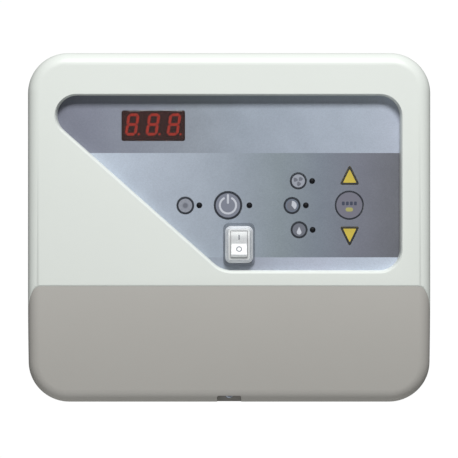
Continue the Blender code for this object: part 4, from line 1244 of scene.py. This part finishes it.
# ---- repeats ------------------------------------------------------------------------------------
class Repeater:
    """Geometry Nodes that set one unit out in rows, with an optional random turn about -Y."""

    def __init__(self) -> None:
        """Build the node tree once."""
        self.tree = bpy.data.node_groups.new("rows_of_parts", "GeometryNodeTree")
        face = self.tree.interface
        self.keys: dict[str, str] = {}
        for name, kind in (("Geometry", "NodeSocketGeometry"), ("Unit", "NodeSocketObject"),
                           ("Finish", "NodeSocketMaterial"), ("Start", "NodeSocketVector"),
                           ("Count", "NodeSocketInt"), ("Step", "NodeSocketVector"),
                           ("Rows", "NodeSocketInt"), ("Row Step", "NodeSocketVector"),
                           ("Turn", "NodeSocketFloat"), ("Seed", "NodeSocketInt")):
            socket = face.new_socket(name, in_out="INPUT", socket_type=kind)
            self.keys[name] = socket.identifier
        face.new_socket("Geometry", in_out="OUTPUT", socket_type="NodeSocketGeometry")
        given = add_node(self.tree, "NodeGroupInput").outputs
        row = add_node(self.tree, "GeometryNodeMeshLine",
                       {"Count": given["Count"], "Start Location": given["Start"],
                        "Offset": given["Step"]})
        column = add_node(self.tree, "GeometryNodeMeshLine",
                          {"Count": given["Rows"], "Offset": given["Row Step"]})
        grid = add_node(self.tree, "GeometryNodeInstanceOnPoints",
                        {"Points": row.outputs[0], "Instance": column.outputs[0]})
        points = add_node(self.tree, "GeometryNodeRealizeInstances", {0: grid.outputs[0]})
        low = add_node(self.tree, "ShaderNodeMath", {0: given["Turn"], 1: -1.0},
                       operation="MULTIPLY")
        chance = add_node(self.tree, "FunctionNodeRandomValue",
                          {2: low.outputs[0], 3: given["Turn"], 8: given["Seed"]})
        turn = add_node(self.tree, "ShaderNodeCombineXYZ", {1: chance.outputs[1]})
        unit = add_node(self.tree, "GeometryNodeObjectInfo", {0: given["Unit"]})
        placed = add_node(self.tree, "GeometryNodeInstanceOnPoints",
                          {"Points": points.outputs[0], "Instance": unit.outputs["Geometry"],
                           "Rotation": turn.outputs[0]})
        real = add_node(self.tree, "GeometryNodeRealizeInstances", {0: placed.outputs[0]})
        dressed = add_node(self.tree, "GeometryNodeSetMaterial",
                           {0: real.outputs[0], "Material": given["Finish"]})
        add_node(self.tree, "NodeGroupOutput", {0: dressed.outputs[0]})

    def lay(self, name: str, unit: bpy.types.Object, finish: Finish, slot: str,
            start: Sequence[float], count: int, step: Sequence[float], rows: int = 1,
            row_step: Sequence[float] = (0, 0, 0), turn: float = 0.0, seed: int = 7) -> None:
        """Repeat a unit over a grid, as one piece that rides on the casing.

        Args:
            name: the new piece's name.
            unit: the shape to repeat, made round the origin; it is used up.
            finish: the surface finish.
            slot: not used; it is only passed on to deliver.
            start: place of the first unit, in mm.
            count: units in a row.
            step: from one unit to the next, in mm.
            rows: number of rows.
            row_step: from one row to the next, in mm.
            turn: largest random turn, in radians.
            seed: picks the random turns.
        """
        piece = bpy.data.objects.new(name, bpy.data.meshes.new(name))
        bpy.context.scene.collection.objects.link(piece)
        step_out = piece.modifiers.new("rows", "NODES")
        step_out.node_group = self.tree
        values = {"Unit": unit, "Finish": finish.material(), "Count": count, "Rows": rows,
                  "Turn": turn, "Seed": seed}
        for key, value in values.items():
            step_out[self.keys[key]] = value
        for key, place in (("Start", start), ("Step", step), ("Row Step", row_step)):
            step_out[self.keys[key]] = [v * MM for v in place]
        settle(piece)
        piece.data.shade_smooth()
        piece.data.set_sharp_from_angle(angle=math.radians(SHARP))
        bpy.data.objects.remove(unit, do_unlink=True)
        deliver(piece, finish, CASE, slot)


# ---- fasteners ----------------------------------------------------------------------------------
@dataclass(frozen=True)
class Screw:
    """Pan-head screw with a cross recess and a ridged shank, sized from its frame node."""

    node: str
    body: str
    head_height: float
    shank_r: float
    pitch: float = 0.9
    recess: float = 0.42

    def build(self) -> None:
        """Turn the head and shank, cut the recess and hand it over."""
        at = Place.of(self.node)
        x, z, head_r, front, tip = at.x, at.z, (at.right - at.left) / 2, at.front, at.back
        seat, core, skirt = front - self.head_height, self.shank_r * 0.8, 0.7
        rungs = int((seat - tip - 0.8) / self.pitch)
        profile = [(self.shank_r * 0.55, tip)]
        for i in range(rungs):
            base = tip + 0.5 + i * self.pitch
            profile += [(core, base), (self.shank_r, base + self.pitch * 0.5)]
        profile += [(core, seat - 0.2), (core, seat), (head_r * 0.97, seat), (head_r, seat + 0.2)]
        rise = self.head_height - skirt
        profile += [(head_r - head_r * 0.35 * (1 - math.cos(a)), seat + skirt + rise * math.sin(a))
                    for a in quarter(6)]
        profile += [(head_r * 0.3, front)]
        screw = turned(f"{self.node}_turned", profile, (x, z), facets=40)
        arm, half, cut = head_r * 0.62, self.recess, (front - self.head_height * 0.62, front + 1)
        carve(screw, block("recess_across", (x - arm, x + arm), cut, (z - half, z + half)),
              block("recess_up", (x - half, x + half), cut, (z - arm, z + arm)))
        deliver(screw, ZINC_STEEL, self.body, "zinc_screw", self.node)


# ---- wiring bay ---------------------------------------------------------------------------------
@dataclass(frozen=True)
class WiringBay:
    """What is behind the covers: boards, relays, supply, terminals and cable entries."""

    mains_way: float = 13.0
    sensor_way: float = 5.0
    ribbon_ways: int = 10
    ribbon_pitch: float = 2.44
    joint_pitch: float = 5.08
    resistor_pitch: float = 10.16
    core_half: Point = (21.15, 18.12)
    plate: float = 0.55
    plate_pitch: float = 0.9
    fuse_cap_r: float = 2.75
    fuse_cap_length: float = 4.9
    entry_r: float = 10.0
    wall: float = 2.5
    gap: float = 0.3

    def boards(self, rows: Repeater) -> None:
        """Both printed boards, with solder joints and resistors on the power board's free areas."""
        refined("power_board", LAMINATE, "laminate", 0.15)
        refined("control_board", LAMINATE, "laminate", 0.15)
        board, relay = Place.of("power_board"), Place.of("relay_1")
        joint = turned("solder_unit", [(0.9, 0.0), (0.75, 0.3), (0.35, 0.75), (0.3, 1.1)], (0, 0),
                       facets=10)
        rows.lay("power_board_joints", joint, SOLDER, "laminate",
                 (board.left + 21, -board.front, board.bottom + 32), 22,
                 (self.joint_pitch, 0, 0), 3, (0, 0, -3.6))
        part = prism("resistor_unit", rounded_rect(0, 0, 6.4, 2.4, 1.0, 4), 0.0, 2.4)
        soften(part, 0.5, 2)
        rows.lay("power_board_resistors", part, BLACK_PLASTIC, "black_plastic",
                 (board.left + 25, -board.front, relay.bottom - 12), 11,
                 (self.resistor_pitch, 0, 0), 3, (0, 0, -10.5), turn=0.05)

    def supply(self, rows: Repeater) -> None:
        """Relays, transformer, capacitor, fuse and buzzer."""
        for i in (1, 2, 3):
            refined(f"relay_{i}", RELAY_CASE, "relay_case", 0.8, segments=3)
        refined("transformer", WINDING_TAPE, "transformer_steel", 0.5)
        core, (half_w, half_h) = Place.of("transformer"), self.core_half
        for name, out in (("back", core.back + 0.3), ("front", core.front - 6.4)):
            plate = block("lamination_unit", (-half_w, half_w), (0.0, self.plate),
                          (-half_h, half_h))
            rows.lay(f"transformer_laminations_{name}", plate, CORE_STEEL, "transformer_steel",
                     (core.x, -out, core.z), 7, (0, -self.plate_pitch, 0))
        refined("capacitor", CAP_SLEEVE, "capacitor_sleeve", 0.5)
        refined("fuse_holder", BLACK_PLASTIC, "black_plastic", 0.3)
        refined("fuse", FUSE_GLASS, "fuse_glass", 0.2)
        fuse, length = Place.of("fuse"), self.fuse_cap_length
        for side, x0, x1 in (("left", fuse.left - 0.25, fuse.left + length),
                             ("right", fuse.right - length, fuse.right + 0.25)):
            cap = turned(f"fuse_cap_{side}", [(self.fuse_cap_r, x0), (self.fuse_cap_r, x1)],
                         (-(fuse.back + fuse.front) / 2, fuse.z), "X", 32)
            soften(cap, 0.3, 2)
            deliver(cap, ALUMINIUM, CASE, "fuse_glass")
        refined("buzzer", BLACK_PLASTIC, "black_plastic", 0.4)

    def terminals(self, rows: Repeater) -> None:
        """Screw terminals: nylon blocks, their screws and the walls between the ways."""
        for name, way, screw_r, crown in (("mains", self.mains_way, 3.2, 10.0),
                                          ("sensor", self.sensor_way, 1.5, 6.5)):
            node = f"{name}_terminal_block"
            refined(node, TERMINAL_NYLON, "terminal_plastic", 0.4)
            at = Place.of(node)
            z = at.bottom + crown
            count = round((at.right - at.left) / way)
            first = at.x - way * (count - 1) / 2
            head = turned("terminal_screw_unit", [(screw_r, 0.0), (screw_r, 0.5),
                                                  (screw_r - 0.3, 0.8)], (0, 0), facets=24)
            arm = screw_r * 0.8
            carve(head, block("slot_cut", (-arm, arm), (0.3, 2.0), (-0.35, 0.35)))
            rows.lay(f"{name}_terminal_screws", head, ZINC_STEEL, "zinc_screw",
                     (first, 0.2 - at.front, z), count, (way, 0, 0), turn=1.2, seed=11)
            rib = block("divider_unit", (-0.5, 0.5), (0.0, 1.1), (-arm - 1.0, arm + 1.0))
            rows.lay(f"{name}_terminal_dividers", rib, TERMINAL_NYLON, "terminal_plastic",
                     (first - way / 2, 0.3 - at.front, z), count + 1, (way, 0, 0))

    def cable(self, rows: Repeater) -> None:
        """Ribbon cable between the boards, with its two sockets and their contacts."""
        refined("ribbon_cable", RIBBON_PVC, "ribbon_pvc", 0.2)
        for node in ("control_connector", "power_connector"):
            refined(node, BLACK_PLASTIC, "black_plastic", 0.3)
            at, pitch = Place.of(node), self.ribbon_pitch
            contact = block("contact_unit", (-0.7, 0.7), (0.0, 5.0), (-0.2, 0.2))
            rows.lay(f"{node}_contacts", contact, TINNED_BRASS, "tinned_brass",
                     (at.x - pitch * (self.ribbon_ways - 1) / 2, -at.back - 1.0,
                      at.bottom - 0.05), self.ribbon_ways, (pitch, 0, 0))

    def tact_switches(self, panel: MembranePanel) -> None:
        """The snap switch behind each key."""
        for key in (*panel.round_keys, *panel.arrow_keys):
            refined(f"tact_switch_{key.name}", BLACK_PLASTIC, "black_plastic", 0.2)

    def grommets(self, rows: Repeater) -> None:
        """Rubber plugs in the cable entries, stepped so that they can be cut to a cable."""
        bottom, r = Place.of("back_box").bottom, self.entry_r
        inside = bottom + self.wall + self.gap
        for i in range(4):
            at = Place.of(f"cable_grommet_{i + 1}")
            steps = [(1.2, bottom + 1.9), (2.6, bottom + 1.9), (2.8, bottom + 1.5),
                     (4.2, bottom + 1.5), (4.4, bottom + 1.0), (6.0, bottom + 1.0),
                     (6.4, bottom + 0.4), (r - 0.7, bottom + 0.4), (r - self.gap, bottom + 0.8),
                     (r - self.gap, inside), (r + 0.8, inside), (r + 1.0, inside + 0.3),
                     (r + 1.0, inside + 1.1), (r + 0.7, inside + 1.4), (6.5, inside + 1.4),
                     (6.0, bottom + 2.6), (1.2, bottom + 2.6)]
            plug = turned(f"entry_grommet_{i + 1}", steps, (at.x, -(at.back + at.front) / 2), "Z")
            deliver(plug, GROMMET_RUBBER, CASE, "grommet_rubber", f"cable_grommet_{i + 1}")

    def build(self, panel: MembranePanel, rows: Repeater) -> None:
        """Make everything behind the covers."""
        self.boards(rows)
        self.supply(rows)
        self.terminals(rows)
        self.cable(rows)
        self.tact_switches(panel)
        self.grommets(rows)


# ---- studio -------------------------------------------------------------------------------------
@dataclass(frozen=True)
class SoftLight:
    """One soft box: where it stands, what it is aimed at, its size in metres and its power."""

    name: str
    place: tuple[float, float, float]
    aim: tuple[float, float, float]
    width: float
    height: float
    watts: float

    def build(self) -> None:
        """Set the light up."""
        data = bpy.data.lights.new(self.name, "AREA")
        data.shape, data.size, data.size_y, data.energy = ("RECTANGLE", self.width, self.height,
                                                           self.watts)
        lamp = bpy.data.objects.new(self.name, data)
        lamp.location = self.place
        toward = Vector(self.aim) - Vector(self.place)
        lamp.rotation_euler = toward.to_track_quat("-Z", "Y").to_euler()
        bpy.context.scene.collection.objects.link(lamp)


@dataclass(frozen=True)
class Studio:
    """Camera, pale floor, white surround and soft light from above the front."""

    camera_at: tuple[float, float, float] = (-0.00006, -1.2486, -0.0006)
    lens_mm: float = 150.0
    floor_z: float = -1.4
    floor_half: float = 2.0
    surround: float = 0.09
    backdrop: float = 1.02
    lights: tuple[SoftLight, ...] = (
        SoftLight("key_light", (0.15, -1.55, 1.55), (0.0, 0.0, 0.0), 0.8, 0.55, 56.0),
        SoftLight("under_light", (-0.3, -0.5, -1.2), (0.0, 0.0, -0.1), 1.2, 0.5, 4.0))

    def camera(self) -> None:
        """A long lens, level and square to the front."""
        data = bpy.data.cameras.new("view")
        data.lens, data.sensor_width = self.lens_mm, 36.0
        data.clip_start, data.clip_end = 0.05, 20.0
        eye = bpy.data.objects.new("view", data)
        eye.location = self.camera_at
        eye.rotation_euler = (math.pi / 2, 0, 0)
        bpy.context.scene.collection.objects.link(eye)
        bpy.context.scene.camera = eye

    def floor(self) -> None:
        """A plain pale floor, as far below the unit as it hangs on a wall."""
        half = self.floor_half
        mesh = bpy.data.meshes.new("studio_floor")
        mesh.from_pydata([(-half, -half, self.floor_z), (half, -half, self.floor_z),
                          (half, half, self.floor_z), (-half, half, self.floor_z)], [],
                         [(0, 1, 2, 3)])
        floor = bpy.data.objects.new("studio_floor", mesh)
        bpy.context.scene.collection.objects.link(floor)
        mesh.materials.append(Finish("matt_white_paper", "E6E6E3", 0.8, grain_mm=2.0,
                                     grain_depth_mm=0.02).material())

    def world(self) -> None:
        """White where the camera sees it, and a softer grey as a light on the object."""
        world = bpy.data.worlds.new("white_surround")
        bpy.context.scene.world = world
        world.use_nodes = True
        tree = world.node_tree
        ray = add_node(tree, "ShaderNodeLightPath")
        power = add_node(tree, "ShaderNodeMapRange",
                         {0: ray.outputs["Is Camera Ray"], 3: self.surround, 4: self.backdrop})
        ground = tree.nodes["Background"]
        ground.inputs["Color"].default_value = (1, 1, 1, 1)
        tree.links.new(power.outputs[0], ground.inputs["Strength"])

    def build(self) -> None:
        """Set up the camera, the floor and the lights, and show colours as they are mixed."""
        bpy.context.scene.view_settings.view_transform = "Standard"
        self.camera()
        self.floor()
        self.world()
        for light in self.lights:
            light.build()


def build_screws() -> None:
    """Four screws in the power board, one in the lower cover and two in the front cover."""
    for i in range(4):
        Screw(f"power_board_screw_{i + 1}", CASE, 2.2, 1.5).build()
    Screw("lower_cover_screw", "wiring_cover", 2.6, 1.5).build()
    for i in (1, 2):
        Screw(f"front_cover_screw_{i}", CASE, 2.6, 1.7).build()


def main() -> None:
    """Build the studio and every sub-assembly of the control unit, in order."""
    logging.basicConfig(level=logging.INFO, format="%(name)s: %(message)s")
    Studio().build()
    opening, panel, rows = Opening(), MembranePanel(), Repeater()
    Casing().build(opening)
    panel.build(opening)
    Display().build()
    RockerSwitch().build()
    WiringBay().build(panel, rows)
    build_screws()


if __name__ == "__main__":
    main()
